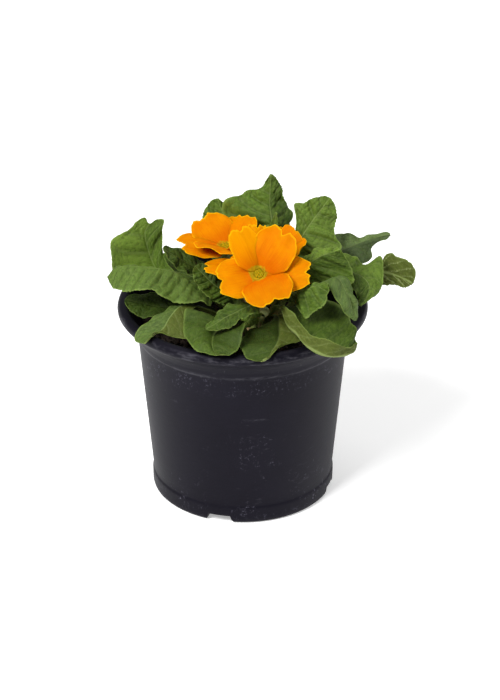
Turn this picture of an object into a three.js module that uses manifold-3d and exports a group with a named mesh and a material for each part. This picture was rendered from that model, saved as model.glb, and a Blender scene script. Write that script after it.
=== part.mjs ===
// Potted primrose: a round nursery pot, its soil, a short crown, a rosette of leaves and four blooms.
// Millimetres, +Z up, the front of the plant towards -Y, the pot's axis on Z and its foot at z = 0.
import * as THREE from 'three';
import { mergeVertices } from 'three/addons/utils/BufferGeometryUtils.js';
import Module from 'manifold-3d';

const wasm = await Module();
wasm.setup();

// ---- driving dimensions ------------------------------------------------------------------------
const POT_TURNS = 40;
const FOOT_R = 43.2;
const FOOT_IN_R = 40.5;
const CHANNEL_Z = 3;
const BODY_LOW_R = 44;
const BODY_TOP_R = 50.7;
const BODY_TOP_Z = 82.5;
const RIM_R = 60.2;
const RIM_TOP_Z = 99.3;
const FLOOR_Z = 4.5;
const NOTCHES = 4;
const NOTCH_WIDE = 12;
const NOTCH_HIGH = 4;
const NOTCH_TURN = -105;
const DRAIN_HOLES = 4;
const DRAIN_R = 4;
const DRAIN_AT = 33.5;

const GAP = 0.3;
const SOIL_TOP = 83;
const SOIL_LOW = FLOOR_Z + GAP;

const CROWN_X = 6;
const CROWN_Y = -2;
const CROWN_R = 7.8;
const CROWN_LOW = 75;
const CROWN_TOP = 95.4;
const LEAF_START_R = 8.75;
const TIER_Z = [85.6, 88.2, 90.8, 93];

const BLADE = 0.7;
const PETIOLE = 1.6;
const MARGIN_FOOT = 1.2;
const MARGIN_TIP = 0.6;
const NARROW = 4;
const PETAL = 0.65;
const COLLAR_TURNS = 10;
const THROAT_R = 2.4;

// ---- small helpers -----------------------------------------------------------------------------
const rad = (degrees) => (degrees * Math.PI) / 180;
const clamp = (x) => Math.min(1, Math.max(0, x));
const vec = (x, y, z) => new THREE.Vector3(x, y, z);

// The smooth step: three times the square less twice the cube, held flat beyond both ends.
function ease(x) {
  const held = clamp(x);
  return held * held * (3 - 2 * held);
}

function finish(shape, colour, roughness) {
  const material = new THREE.MeshStandardMaterial({ color: colour, roughness, metalness: 0 });
  return new THREE.Mesh(shape, material);
}

function solidOf(shape) {
  const bare = shape.clone();
  bare.deleteAttribute('normal');
  bare.deleteAttribute('uv');
  const joined = mergeVertices(bare, 1e-4);
  const mesh = new wasm.Mesh({
    numProp: 3,
    vertProperties: new Float32Array(joined.attributes.position.array),
    triVerts: new Uint32Array(joined.index.array),
  });
  return new wasm.Manifold(mesh);
}

function shapeOf(solid) {
  const mesh = solid.getMesh();
  const shape = new THREE.BufferGeometry();
  shape.setAttribute('position', new THREE.BufferAttribute(new Float32Array(mesh.vertProperties), 3));
  shape.setIndex(new THREE.BufferAttribute(new Uint32Array(mesh.triVerts), 1));
  return shape;
}

// A closed skin from rings of equal length; the first and the last ring are shut with a fan.
function ringSkin(rings) {
  const turns = rings[0].length;
  const places = [];
  const faces = [];
  rings.forEach((ring) => ring.forEach((p) => places.push(p.x, p.y, p.z)));
  for (let i = 0; i < rings.length - 1; i += 1) {
    for (let j = 0; j < turns; j += 1) {
      const a = i * turns + j;
      const b = i * turns + ((j + 1) % turns);
      faces.push(a, b, b + turns);
      faces.push(a, b + turns, a + turns);
    }
  }
  const low = rings[0].reduce((sum, p) => sum.add(p), vec(0, 0, 0)).divideScalar(turns);
  const high = rings[rings.length - 1].reduce((sum, p) => sum.add(p), vec(0, 0, 0)).divideScalar(turns);
  const lowAt = places.length / 3;
  places.push(low.x, low.y, low.z, high.x, high.y, high.z);
  const lastRow = (rings.length - 1) * turns;
  for (let j = 0; j < turns; j += 1) {
    const k = (j + 1) % turns;
    faces.push(lowAt, k, j);
    faces.push(lowAt + 1, lastRow + j, lastRow + k);
  }
  const shape = new THREE.BufferGeometry();
  shape.setAttribute('position', new THREE.Float32BufferAttribute(places, 3));
  shape.setIndex(faces);
  return shape;
}

// A thin solid over a grid of surface points: the lower face lies a thickness below the upper one, along
// the mean of the normals around each point, and along the row's own mean where the blade is narrow.
function bladeSkin(rows, cols, place, thick) {
  const places = [];
  const faces = [];
  const step = 0.004;
  const wide = cols + 1;
  const count = (rows + 1) * wide;
  const upper = [];
  const normals = [];
  for (let i = 0; i <= rows; i += 1) {
    for (let j = 0; j <= cols; j += 1) {
      const u = i / rows;
      const v = (2 * j) / cols - 1;
      const along = place(Math.min(1, u + step), v).sub(place(Math.max(0, u - step), v));
      const across = place(u, Math.min(1, v + step)).sub(place(u, Math.max(-1, v - step)));
      upper.push(place(u, v));
      normals.push(across.cross(along).normalize());
    }
  }
  const meanOf = (i, jLow, jHigh, reach) => {
    const sum = vec(0, 0, 0);
    for (let k = Math.max(0, i - reach); k <= Math.min(rows, i + reach); k += 1) {
      for (let j = Math.max(0, jLow); j <= Math.min(cols, jHigh); j += 1) {
        sum.add(normals[k * wide + j]);
      }
    }
    return sum.normalize();
  };
  const under = upper.map((here, at) => {
    const i = Math.floor(at / wide);
    const j = at % wide;
    const span = upper[i * wide].distanceTo(upper[i * wide + cols]);
    const own = clamp((span - NARROW) / NARROW);
    const way = meanOf(i, j - 1, j + 1, 1).multiplyScalar(own);
    way.addScaledVector(meanOf(i, 0, cols, 1), 1 - own).normalize();
    return here.clone().addScaledVector(way, -thick(i / rows, (2 * j) / cols - 1));
  });
  upper.forEach((p) => places.push(p.x, p.y, p.z));
  under.forEach((p) => places.push(p.x, p.y, p.z));
  for (let i = 0; i < rows; i += 1) {
    for (let j = 0; j < cols; j += 1) {
      const a = i * wide + j;
      const b = a + 1;
      const c = a + wide;
      const d = c + 1;
      if (j < cols / 2) {
        faces.push(a, b, c, b, d, c);
        faces.push(a + count, c + count, b + count, b + count, c + count, d + count);
      } else {
        faces.push(a, b, d, a, d, c);
        faces.push(a + count, d + count, b + count, a + count, c + count, d + count);
      }
    }
  }
  const wall = (a, b) => faces.push(a, a + count, b, b, a + count, b + count);
  for (let j = 0; j < cols; j += 1) {
    wall(j, j + 1);
    wall(rows * wide + j + 1, rows * wide + j);
  }
  for (let i = 0; i < rows; i += 1) {
    wall((i + 1) * wide, i * wide);
    wall(i * wide + cols, (i + 1) * wide + cols);
  }
  const shape = new THREE.BufferGeometry();
  shape.setAttribute('position', new THREE.Float32BufferAttribute(places, 3));
  shape.setIndex(faces);
  return shape;
}

// A Catmull-Rom line through the points, u from 0 to 1 by the length of the chords.
function lineThrough(points) {
  const all = [
    points[0].clone().multiplyScalar(2).sub(points[1]),
    ...points,
    points[points.length - 1].clone().multiplyScalar(2).sub(points[points.length - 2]),
  ];
  const knots = [0];
  for (let i = 1; i < points.length; i += 1) {
    knots.push(knots[i - 1] + points[i].distanceTo(points[i - 1]));
  }
  const whole = knots[knots.length - 1];
  return (u) => {
    let k = 0;
    while (k < points.length - 2 && u * whole >= knots[k + 1]) {
      k += 1;
    }
    const t = (u * whole - knots[k]) / (knots[k + 1] - knots[k]);
    const mix = (wa, wb, wc, wd) => {
      const sum = all[k].clone().multiplyScalar(wa);
      sum.addScaledVector(all[k + 1], wb);
      sum.addScaledVector(all[k + 2], wc);
      return sum.addScaledVector(all[k + 3], wd);
    };
    const place = mix(
      0.5 * (-t + 2 * t * t - t * t * t),
      0.5 * (2 - 5 * t * t + 3 * t * t * t),
      0.5 * (t + 4 * t * t - 3 * t * t * t),
      0.5 * (t * t * t - t * t),
    );
    const way = mix(
      0.5 * (-1 + 4 * t - 3 * t * t),
      0.5 * (-10 * t + 9 * t * t),
      0.5 * (1 + 8 * t - 9 * t * t),
      0.5 * (3 * t * t - 2 * t),
    );
    return { place, way: way.normalize() };
  };
}

// ---- pot ---------------------------------------------------------------------------------------
function potShape() {
  const profile = [
    [0, 0],
    [26, 0],
    [28, CHANNEL_Z],
    [39, CHANNEL_Z],
    [FOOT_IN_R, 0],
    [FOOT_R, 0],
    [44.4, 1.1],
    [44.6, 8.3],
    [BODY_LOW_R, 9.5],
    [BODY_TOP_R, BODY_TOP_Z],
    [51.5, 83.6],
    [53, 88],
    [56, 92],
    [60, 94.8],
    [RIM_R, 96.2],
    [59.4, 98.2],
    [57, RIM_TOP_Z],
    [55.4, 98.6],
    [54.2, 95],
    [52.2, 90],
    [49.6, 82],
    [43, 10],
    [42, FLOOR_Z],
    [0, FLOOR_Z],
  ];
  const outline = profile.map(([r, z]) => new THREE.Vector2(r, z));
  const turned = new THREE.LatheGeometry(outline, POT_TURNS);
  turned.rotateX(Math.PI / 2);
  let pot = solidOf(turned);
  for (let k = 0; k < NOTCHES; k += 1) {
    const half = NOTCH_WIDE / 2;
    const arch = new THREE.Shape();
    arch.moveTo(-half, -2);
    arch.lineTo(half, -2);
    arch.lineTo(half, NOTCH_HIGH - 1.5);
    arch.lineTo(half - 1.5, NOTCH_HIGH);
    arch.lineTo(1.5 - half, NOTCH_HIGH);
    arch.lineTo(-half, NOTCH_HIGH - 1.5);
    const cutter = new THREE.ExtrudeGeometry(arch, { depth: 8, bevelEnabled: false });
    cutter.rotateX(Math.PI / 2);
    cutter.rotateZ(rad(90));
    const place = new THREE.Matrix4().makeRotationZ(rad(NOTCH_TURN + (360 / NOTCHES) * k));
    cutter.translate(39.2, 0, 0);
    cutter.applyMatrix4(place);
    pot = pot.subtract(solidOf(cutter));
  }
  for (let k = 0; k < DRAIN_HOLES; k += 1) {
    const turn = rad(NOTCH_TURN + 45 + (360 / DRAIN_HOLES) * k);
    const drill = new THREE.CylinderGeometry(DRAIN_R, DRAIN_R, 12, 12);
    drill.rotateX(Math.PI / 2);
    drill.translate(DRAIN_AT * Math.cos(turn), DRAIN_AT * Math.sin(turn), 3);
    pot = pot.subtract(solidOf(drill));
  }
  return shapeOf(pot);
}

// ---- soil --------------------------------------------------------------------------------------
function soilShape() {
  const turns = 28;
  const rings = [];
  const ring = (r, z, x, y, rough) => {
    const line = [];
    for (let j = 0; j < turns; j += 1) {
      const a = (2 * Math.PI * j) / turns;
      const px = x + r * Math.cos(a);
      const py = y + r * Math.sin(a);
      const lump = Math.sin(0.61 * px + 0.4) * Math.cos(0.53 * py) + 0.6 * Math.sin(1.3 * px - 1.1 * py);
      line.push(vec(px, py, z + rough * lump));
    }
    rings.push(line);
  };
  ring(20, SOIL_LOW, 0, 0, 0);
  ring(41.5, SOIL_LOW, 0, 0, 0);
  ring(42.6, 10, 0, 0, 0);
  ring(49.2, 81.6, 0, 0, 0);
  ring(44, SOIL_TOP, 0.5, 0, 0.7);
  ring(36, SOIL_TOP + 0.3, 1.5, -0.4, 0.8);
  ring(27, SOIL_TOP + 0.5, 3, -1, 0.8);
  ring(18, SOIL_TOP + 0.7, 5, -1.6, 0.6);
  ring(CROWN_R + GAP, SOIL_TOP + 0.8, CROWN_X, CROWN_Y, 0);
  ring(CROWN_R + GAP, CROWN_LOW - GAP, CROWN_X, CROWN_Y, 0);
  return ringSkin(rings);
}

// ---- crown -------------------------------------------------------------------------------------
function crownShape() {
  const turns = 16;
  const rows = [
    [CROWN_R - 0.4, CROWN_LOW, 0],
    [CROWN_R, CROWN_LOW + 4, 0],
    [CROWN_R, 84.5, 0],
    [CROWN_R - 0.1, 88, 0.5],
    [CROWN_R - 0.2, 92, 0.5],
    [CROWN_R - 1, 94.2, 0.5],
    [CROWN_R - 2.8, CROWN_TOP, 0.3],
  ];
  const rings = rows.map(([r, z, rib]) => {
    const line = [];
    for (let j = 0; j < turns; j += 1) {
      const a = (2 * Math.PI * j) / turns;
      const out = r - rib * (0.5 - 0.5 * Math.cos(8 * a + 0.1 * z));
      line.push(vec(CROWN_X + out * Math.cos(a), CROWN_Y + out * Math.sin(a), z));
    }
    return line;
  });
  return ringSkin(rings);
}

// ---- leaves ------------------------------------------------------------------------------------
// base: azimuth and tier on the crown; seat: how far its foot is set in; spine: points of the midrib
// half: widest half width left and right of the midrib, looking along it from above
// fold, late: angle of each half to the flat at mid blade and at the tip, up is plus
// stalk: share of the length that is petiole; wide: share of the blade where it is widest
// blunt, sharp: form of the tip; hint: the way the upper face looks
// left, right: points of the two margins, in place of the half widths and folds; bow: each half's swell
// wave: height, count and start of the waves in the margin
const LEAF = {
  seat: 0,
  fold: [15, 15],
  late: [10, 10],
  stalk: 0.28,
  wide: 0.62,
  blunt: [2.4, 2.4],
  sharp: 0.5,
  hint: [0, 0, 1],
  left: null,
  right: null,
  bow: [0, 0],
  wave: [1.2, 3, 0],
  teeth: 6,
  cols: 6,
  tooth: 0.05,
  ridge: 0.7,
  shear: 0.1,
  rib: 1.3,
};

const LEAVES = {
  leaf_f1: {
    base: [-142, 0],
    spine: [
      [-12, -12, 98], [-24, -20, 106.5], [-29.5, -23.5, 107.8], [-34, -31, 106], [-37.3, -38, 103.4],
      [-43.3, -43, 100.7], [-45.7, -45, 99],
    ],
    left: [[-24.5, -28, 106], [-24.5, -36, 102], [-26.5, -41, 99], [-34, -40, 100.5], [-39.5, -40, 102]],
    right: [
      [-31.5, -20, 106.5], [-36, -24, 106], [-40.5, -29, 105], [-46.5, -34, 103], [-50.8, -38, 99.8],
      [-49.5, -42, 98],
    ],
    seat: 0.2, stalk: 0.42, wave: [0.3, 3, 0], teeth: 3, tooth: 0.02, shear: 0.02,
  },
  leaf_f2: {
    base: [-112, 0],
    spine: [[-2, -20, 97], [-8, -31, 102], [-13, -42, 103], [-14, -53, 102.8], [-12, -63, 102.4]],
    left: [
      [0, -36, 106], [2, -43, 109], [0.7, -49, 109.5], [-0.7, -55, 106], [-2.3, -59, 103],
      [-6, -62, 102.4],
    ],
    right: [
      [-17, -28, 105], [-26, -29, 109], [-27.7, -35, 107], [-27.5, -43, 104.8], [-25.5, -51, 103.2],
      [-21, -58, 102.6], [-15.5, -62, 102.3],
    ],
    seat: 0.2, stalk: 0.35, wave: [0.4, 3, 0], tooth: 0.02, bow: [0, 1.5],
  },
  leaf_f3: {
    base: [-122, 3],
    spine: [[4, -20, 106], [2, -34, 112.8], [-7, -42, 112], [-17, -47, 107.5]],
    half: [7, 5], fold: [-10, 10], late: [-10, 10], stalk: 0.3, wide: 0.45, blunt: [3, 3], teeth: 5,
    tooth: 0.09,
  },
  leaf_f4: {
    base: [-96, 1],
    spine: [[6.5, -18, 101], [4, -25, 103], [0.5, -31, 100]],
    half: [4.5, 4.5], fold: [-10, -10], late: [-10, -10], stalk: 0.2, wide: 0.55, teeth: 4, tooth: 0.09,
    cols: 4,
  },
  leaf_f5: {
    base: [-78, 0],
    spine: [
      [12, -16, 98], [16.5, -26, 103.5], [17, -33, 103.4], [17, -42, 101.8], [15.5, -52, 102.2],
      [11, -62, 100.2], [8.6, -64, 99.7],
    ],
    left: [
      [22, -25, 104.5], [26.5, -34, 102.7], [28, -43, 100.5], [23, -47, 100], [18, -52, 101],
      [13.7, -58.5, 101],
    ],
    right: [[11.5, -33.5, 103], [4, -37.5, 102.7], [-1, -48, 101.6], [0.7, -59, 100.8], [4.4, -63, 99.7]],
    stalk: 0.34, wave: [0.3, 3, 0], teeth: 5, tooth: 0.02, shear: 0,
  },
  leaf_f6: {
    base: [-49, 2],
    spine: [
      [15.5, -17, 104], [18.3, -30, 110], [22, -42, 106.3], [25.7, -48, 105.3], [31.3, -55, 102.2],
      [38.2, -59, 100.6], [47.5, -54, 97.8], [52, -46, 96.4], [53.5, -41, 97.3],
    ],
    left: [
      [27, -20, 106.5], [39, -14, 107], [47, -19, 104], [51.6, -27, 101.3], [53.8, -33, 99],
      [52.3, -37.5, 98.5],
    ],
    right: [
      [19, -33, 113], [24, -41, 112], [27.5, -46, 109.5], [32.2, -53, 107.4], [40.5, -57, 106.7],
      [47.5, -54, 101.7],
    ],
    seat: 0.45, stalk: 0.25, wave: [0.4, 3, 0], tooth: 0.02, shear: 0.03, rib: 0.7,
  },
  leaf_r1: {
    base: [30, 2],
    spine: [[25, 8, 118], [28, 11, 126.5], [33.3, 15, 133.5], [39.5, 19, 140.5], [42, 21, 143]],
    left: [
      [25, 12, 123.5], [25.7, 15, 132], [25, 19.5, 140], [29, 20, 141], [33.5, 20.5, 143],
      [38.5, 21, 144],
    ],
    right: [
      [42, 3, 118], [47.5, 6, 123], [44.5, 10, 127.5], [44, 13, 129.5], [45.3, 17, 135],
      [44.4, 20, 139.5],
    ],
    seat: 0.1, stalk: 0.45, hint: [-0.2, -1, 0.5], wave: [0.6, 3, 0], teeth: 7, tooth: 0.03,
  },
  leaf_r2: {
    base: [-3, 3],
    spine: [[22, -8, 116], [31.8, -10, 123.7], [37.5, -12, 128.5], [46, -12, 131.5]],
    left: [[27, -3, 121], [31, -4, 125.3], [36, -5, 128.5], [42.7, -8, 131]],
    right: [
      [27, -11, 111], [33, -12, 111.5], [43, -14, 112.5], [51, -14, 114.5], [53, -12, 117],
      [50, -12, 124.5],
    ],
    seat: 0.45, stalk: 0.35, wave: [0.6, 4, 0], tooth: 0.03,
  },
  leaf_r3: {
    base: [-29, 1],
    spine: [
      [27, -14, 106], [37, -18, 117], [44.6, -20, 120.7], [49.3, -27, 116], [52, -31, 109.2],
      [53, -33, 104.6],
    ],
    left: [[48.3, -16, 117.3], [51.2, -19, 114.6], [53.5, -24, 110.8], [54.5, -29, 107.3]],
    right: [[39.5, -23, 119.5], [41.3, -29, 117.8], [44.6, -33, 114], [49.3, -34.5, 108]],
    seat: 0.4, stalk: 0.45, wave: [0.4, 3, 0], tooth: 0.02, shear: 0.05, bow: [1, 1],
  },
  leaf_r4: {
    base: [-38, 3],
    spine: [[17, -15, 106], [21, -20, 112], [25.7, -25, 116.3], [32.8, -29, 120.8], [39.4, -31, 123.5]],
    left: [[25, -21, 114.5], [31, -25, 119], [36, -28, 122]],
    right: [[24, -29, 112], [27.6, -36, 109.5], [31.3, -38, 109.3], [37.5, -38, 115.7], [40, -35, 121]],
    seat: 0.7, stalk: 0.3, wave: [0.4, 3, 0], shear: 0.02, rib: 0.6,
  },
  leaf_r5: {
    base: [-6, 1],
    spine: [
      [30, -2, 106], [46.6, -2, 115], [55, -2, 113.8], [60, -8, 111.5], [59, -14, 107.6],
      [55.7, -17, 104.3],
    ],
    left: [
      [42, 4, 119], [46.6, 4, 121.5], [50, 6, 120], [52.4, 8, 117.2], [55, 9, 117.1], [57, 9, 115],
      [60, 8, 115], [65.8, 6, 119], [67.2, 0, 115], [66.7, -6, 110.5], [64, -11, 107], [59.5, -15, 106],
    ],
    right: [[46.6, -6, 111], [52.4, -10, 109.3], [54.8, -14, 106]],
    seat: 0.6, stalk: 0.45, wave: [0.6, 5, 0], teeth: 7, tooth: 0.03,
  },
  leaf_r6: {
    base: [2, 0],
    spine: [[40, 8, 100], [58, 10, 106], [67, 9, 109.5], [77, 9, 106], [82, 8, 103.5]],
    left: [[67, 8, 103], [73, 7, 103.3], [78, 6, 102.3]],
    right: [
      [67.2, 11, 113.4], [68.2, 12, 116.6], [71.5, 13, 118], [74.5, 12, 116.1], [78, 11, 115.6],
      [81, 10, 113.9], [83, 9, 110], [83, 8, 106.3],
    ],
    stalk: 0.7, hint: [0, 1, 0.2], wave: [0.3, 3, 0], teeth: 3, tooth: 0.04, shear: 0.02,
  },
  leaf_r7: {
    base: [22, 1],
    spine: [
      [30, 10, 110], [43.6, 12, 118], [51.6, 18, 118.5], [58.2, 22, 119.6], [65, 24, 120.8],
      [71.5, 25, 121.8],
    ],
    left: [
      [43.6, 26, 120.3], [50.7, 29, 120], [57.3, 28, 119.4], [61.5, 26.5, 120.8], [65.8, 26, 122],
      [69.6, 26, 122.6],
    ],
    right: [
      [48.3, 8, 114.3], [56.4, 12, 112], [62.2, 16.5, 112.7], [62.3, 21, 116], [66.3, 23, 119],
      [70, 24, 119.7],
    ],
    seat: 0.35, stalk: 0.4, wave: [0.3, 3, 0], teeth: 7, tooth: 0.02, shear: 0.03,
  },
  leaf_l1: {
    base: [160, 1],
    spine: [[-23, 4, 104], [-38, 9, 106], [-43, 12, 112], [-46, 14, 121], [-47, 16, 127], [-45, 18, 131]],
    left: [
      [-50, 3, 106], [-60, 3, 110], [-63, 2, 118], [-63, 4, 125], [-61, 8, 128], [-54, 14, 130],
      [-51, 17, 132.5], [-47, 18, 134],
    ],
    right: [
      [-33, 8, 110], [-38, 11, 116], [-38.5, 13, 123], [-38.5, 14, 129], [-38, 14, 134.5], [-41, 16, 134],
    ],
    stalk: 0.42, hint: [0.3, -1, 0.4], wave: [0.5, 3, 0], tooth: 0.02, shear: 0.02,
  },
  leaf_l2: {
    base: [-165, 2],
    spine: [
      [-12, -6, 108], [-24, -9, 113], [-29.5, -8, 117], [-37, -9, 120], [-44, -10, 121.5],
      [-55, -10, 122.5], [-61, -11, 121], [-64, -13, 117.5],
    ],
    left: [
      [-15.5, -20, 105.6], [-19.5, -22, 109.2], [-25, -24, 109.5], [-32, -25, 110.5], [-38, -25, 113],
      [-42, -24, 116], [-51, -23, 115.5], [-58, -21, 114.5], [-62, -18, 115.5],
    ],
    right: [[-24, -3, 110], [-37, -2, 114], [-50, -3, 117.5], [-60, -5, 118]],
    seat: 0.5, stalk: 0.2, wave: [0.5, 3, 0], teeth: 9, tooth: 0.03, ridge: 0.35,
  },
  leaf_l3: {
    base: [-168, 0],
    spine: [[-18, -9, 100], [-37, -13, 102], [-56, -9, 104]],
    half: [10, 9], fold: [-10, 10], late: [-10, 10], stalk: 0.3, wide: 0.6, cols: 4,
  },
  leaf_l4: {
    base: [-146, 3],
    spine: [[-6, -9.5, 106], [-14, -10, 112.5], [-22.5, -7, 120.4]],
    half: [8, 7.5], fold: [25, -10], late: [25, -10], stalk: 0.1, wide: 0.5, hint: [0, -1, 0.8],
  },
  leaf_l5: {
    base: [180, 1],
    spine: [[-13, 3, 108], [-25, 6, 115], [-38, 5, 124]],
    half: [9, 8], fold: [-10, 10], late: [-10, 10], stalk: 0.3, wide: 0.6, cols: 4,
  },
  leaf_b1: {
    base: [100, 2],
    spine: [[2, 20, 112], [-6, 31, 121], [-12.5, 40, 134]],
    left: [[-13, 29, 119], [-18.3, 33, 124], [-19.3, 36, 127.5], [-17.8, 38, 130.7], [-15.4, 39.5, 133]],
    right: [[2, 29, 119], [-4, 35, 125.5], [-8.5, 39, 131]],
    seat: 0.7, stalk: 0.4, hint: [0, -1, 0.5], wave: [0.6, 3, 0], teeth: 5, tooth: 0.03, shear: 0.05,
  },
  leaf_b2: {
    base: [70, 2],
    spine: [[14, 18, 118], [14, 24, 129], [13.2, 30, 135], [13.2, 34, 141], [13.7, 37, 148.3]],
    left: [
      [2, 26, 121], [-5, 28, 125], [-10, 30, 131], [-7, 32, 137], [-1.3, 34, 139], [2.5, 35.5, 140.6],
      [7.5, 36, 141], [11, 36.5, 144.5],
    ],
    right: [
      [20, 24, 121], [24.5, 30, 128], [22, 33, 133], [19.5, 34, 137.3], [19, 35, 142], [16.6, 36, 146],
    ],
    seat: 0.4, stalk: 0.4, hint: [0, -1, 0.5], wave: [0.7, 4, 0], tooth: 0.04,
  },
  leaf_b3: {
    base: [52, 3],
    spine: [[12, 14, 123], [15, 15, 131], [16, 15, 138]],
    half: [6.5, 5.5], late: [15, 15], stalk: 0.2, wide: 0.35, blunt: [1.2, 1.2], sharp: 0.9,
    hint: [0, -1, 0.5], teeth: 4, cols: 4,
  },
  leaf_k1: {
    base: [45, 0],
    spine: [[24, 17, 101], [38, 31, 105], [49, 46, 101]],
    half: [12, 12], cols: 4,
  },
  leaf_k2: {
    base: [72, 0],
    spine: [[14, 26, 104], [17, 44, 108], [18, 64, 100]],
    half: [11, 11], cols: 4,
  },
  leaf_k3: {
    base: [112, 0],
    spine: [[-6, 24, 103], [-14, 42, 107], [-21, 60, 101]],
    seat: 0.1, half: [11, 11], cols: 4,
  },
  leaf_k4: {
    base: [137, 0],
    spine: [[-17, 12, 101], [-38, 24, 104], [-54, 32, 101]],
    half: [11, 11], cols: 4,
  },
};

function sideOf(way, hint) {
  const up = hint.clone().addScaledVector(way, -hint.dot(way)).normalize();
  return { side: way.clone().cross(up), up };
}

// Margins given as points: each leaves the midrib where the petiole ends and runs to the tip.
function marginLines(leaf, line, hint) {
  const foot = line(leaf.stalk);
  const tip = line(1);
  const apart = vec(...leaf.right[leaf.right.length - 1]).sub(vec(...leaf.left[leaf.left.length - 1]));
  apart.normalize().add(sideOf(tip.way, hint).side).normalize();
  return [leaf.left, leaf.right].map((points, k) => {
    const sign = k ? 1 : -1;
    const first = foot.place.clone().addScaledVector(sideOf(foot.way, hint).side, sign * MARGIN_FOOT);
    const last = tip.place.clone().addScaledVector(apart, sign * MARGIN_TIP);
    return lineThrough([first, ...points.map((p) => vec(...p)), last]);
  });
}

// A leaf's upper face. The half width grows by a smooth step from the petiole and shuts as a power
// curve at the tip, and each half leaves the midrib at its fold angle; or the halves reach to margins
// given as points and swell by their bow. Side veins lift the blade in a slanted wave that ends in a
// tooth, and the margin carries a slower wave.
function leafPlace(given) {
  const leaf = { ...LEAF, ...given };
  const turn = rad(leaf.base[0]);
  const near = LEAF_START_R - leaf.seat;
  const start = vec(
    CROWN_X + near * Math.cos(turn),
    CROWN_Y + near * Math.sin(turn),
    TIER_Z[leaf.base[1]],
  );
  const line = lineThrough([start, ...leaf.spine.map((p) => vec(...p))]);
  const hint = vec(...leaf.hint);
  const margins = leaf.left ? marginLines(leaf, line, hint) : null;
  return (row, v) => {
    const x = Math.abs(v);
    const k = v < 0 ? 0 : 1;
    const slant = leaf.shear * x * 4 * row * (1 - row) * ease((row - leaf.stalk) / 0.35);
    const u = clamp(row + slant);
    const { place, way } = line(u);
    const { side, up } = sideOf(way, hint);
    const s = clamp((u - leaf.stalk) / (1 - leaf.stalk));
    const beat = 2 * Math.PI * leaf.teeth * row;
    let grow = ease(s / 0.3);
    let shut = ease((1 - s) / 0.12);
    let out = vec(0, 0, 0);
    let lift = leaf.bow[k] * 4 * x * (1 - x) * grow * shut;
    if (margins) {
      const reaches = margins.map((margin, j) => {
        const held = side.clone().multiplyScalar(j ? MARGIN_FOOT : -MARGIN_FOOT);
        return held.lerp(margin(s).place.sub(place), ease(s / 0.2));
      });
      const ups = reaches.map((reach, j) => {
        return reach.clone().cross(way).multiplyScalar(j ? 1 : -1).normalize();
      });
      const middle = ups[0].clone().add(ups[1]).normalize();
      up.copy(middle).lerp(ups[k], ease(x / 0.25)).normalize();
      out = reaches[k].multiplyScalar(x);
    } else {
      grow = ease(s / leaf.wide);
      shut = (1 - clamp((s - leaf.wide) / (1 - leaf.wide)) ** leaf.blunt[k]) ** leaf.sharp;
      const half = Math.max(0.6, (PETIOLE + (leaf.half[k] - PETIOLE) * grow) * shut);
      const blade = ease((u - 0.15) / 0.35);
      const fold = leaf.fold[k] + (leaf.late[k] - leaf.fold[k]) * ease((u - 0.5) / 0.5);
      const angle = rad(25 * (1 - blade) + blade * fold);
      out.copy(side).multiplyScalar(v * half * Math.cos(angle));
      lift = x * half * Math.sin(angle);
    }
    const tooth = 1 + leaf.tooth * x ** 4 * Math.cos(beat) * grow;
    const [high, count, begin] = leaf.wave;
    lift += high * x ** 2.5 * Math.sin(2 * Math.PI * count * u + begin + (v < 0 ? 1.3 : 0)) * grow * shut;
    lift += leaf.ridge * Math.sin(beat + 1.2) * grow * shut * Math.sin(Math.PI * x) ** 0.7;
    return place.addScaledVector(out, tooth).addScaledVector(up, lift);
  };
}

function leafShape(given) {
  const rows = 2 * (given.teeth ?? LEAF.teeth);
  const rib = given.rib ?? LEAF.rib;
  const thick = (u, v) => BLADE + rib * Math.max(0, 1 - 3 * Math.abs(v)) * (1 - u) ** 1.5;
  return bladeSkin(rows, given.cols ?? LEAF.cols, leafPlace(given), thick);
}

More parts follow.
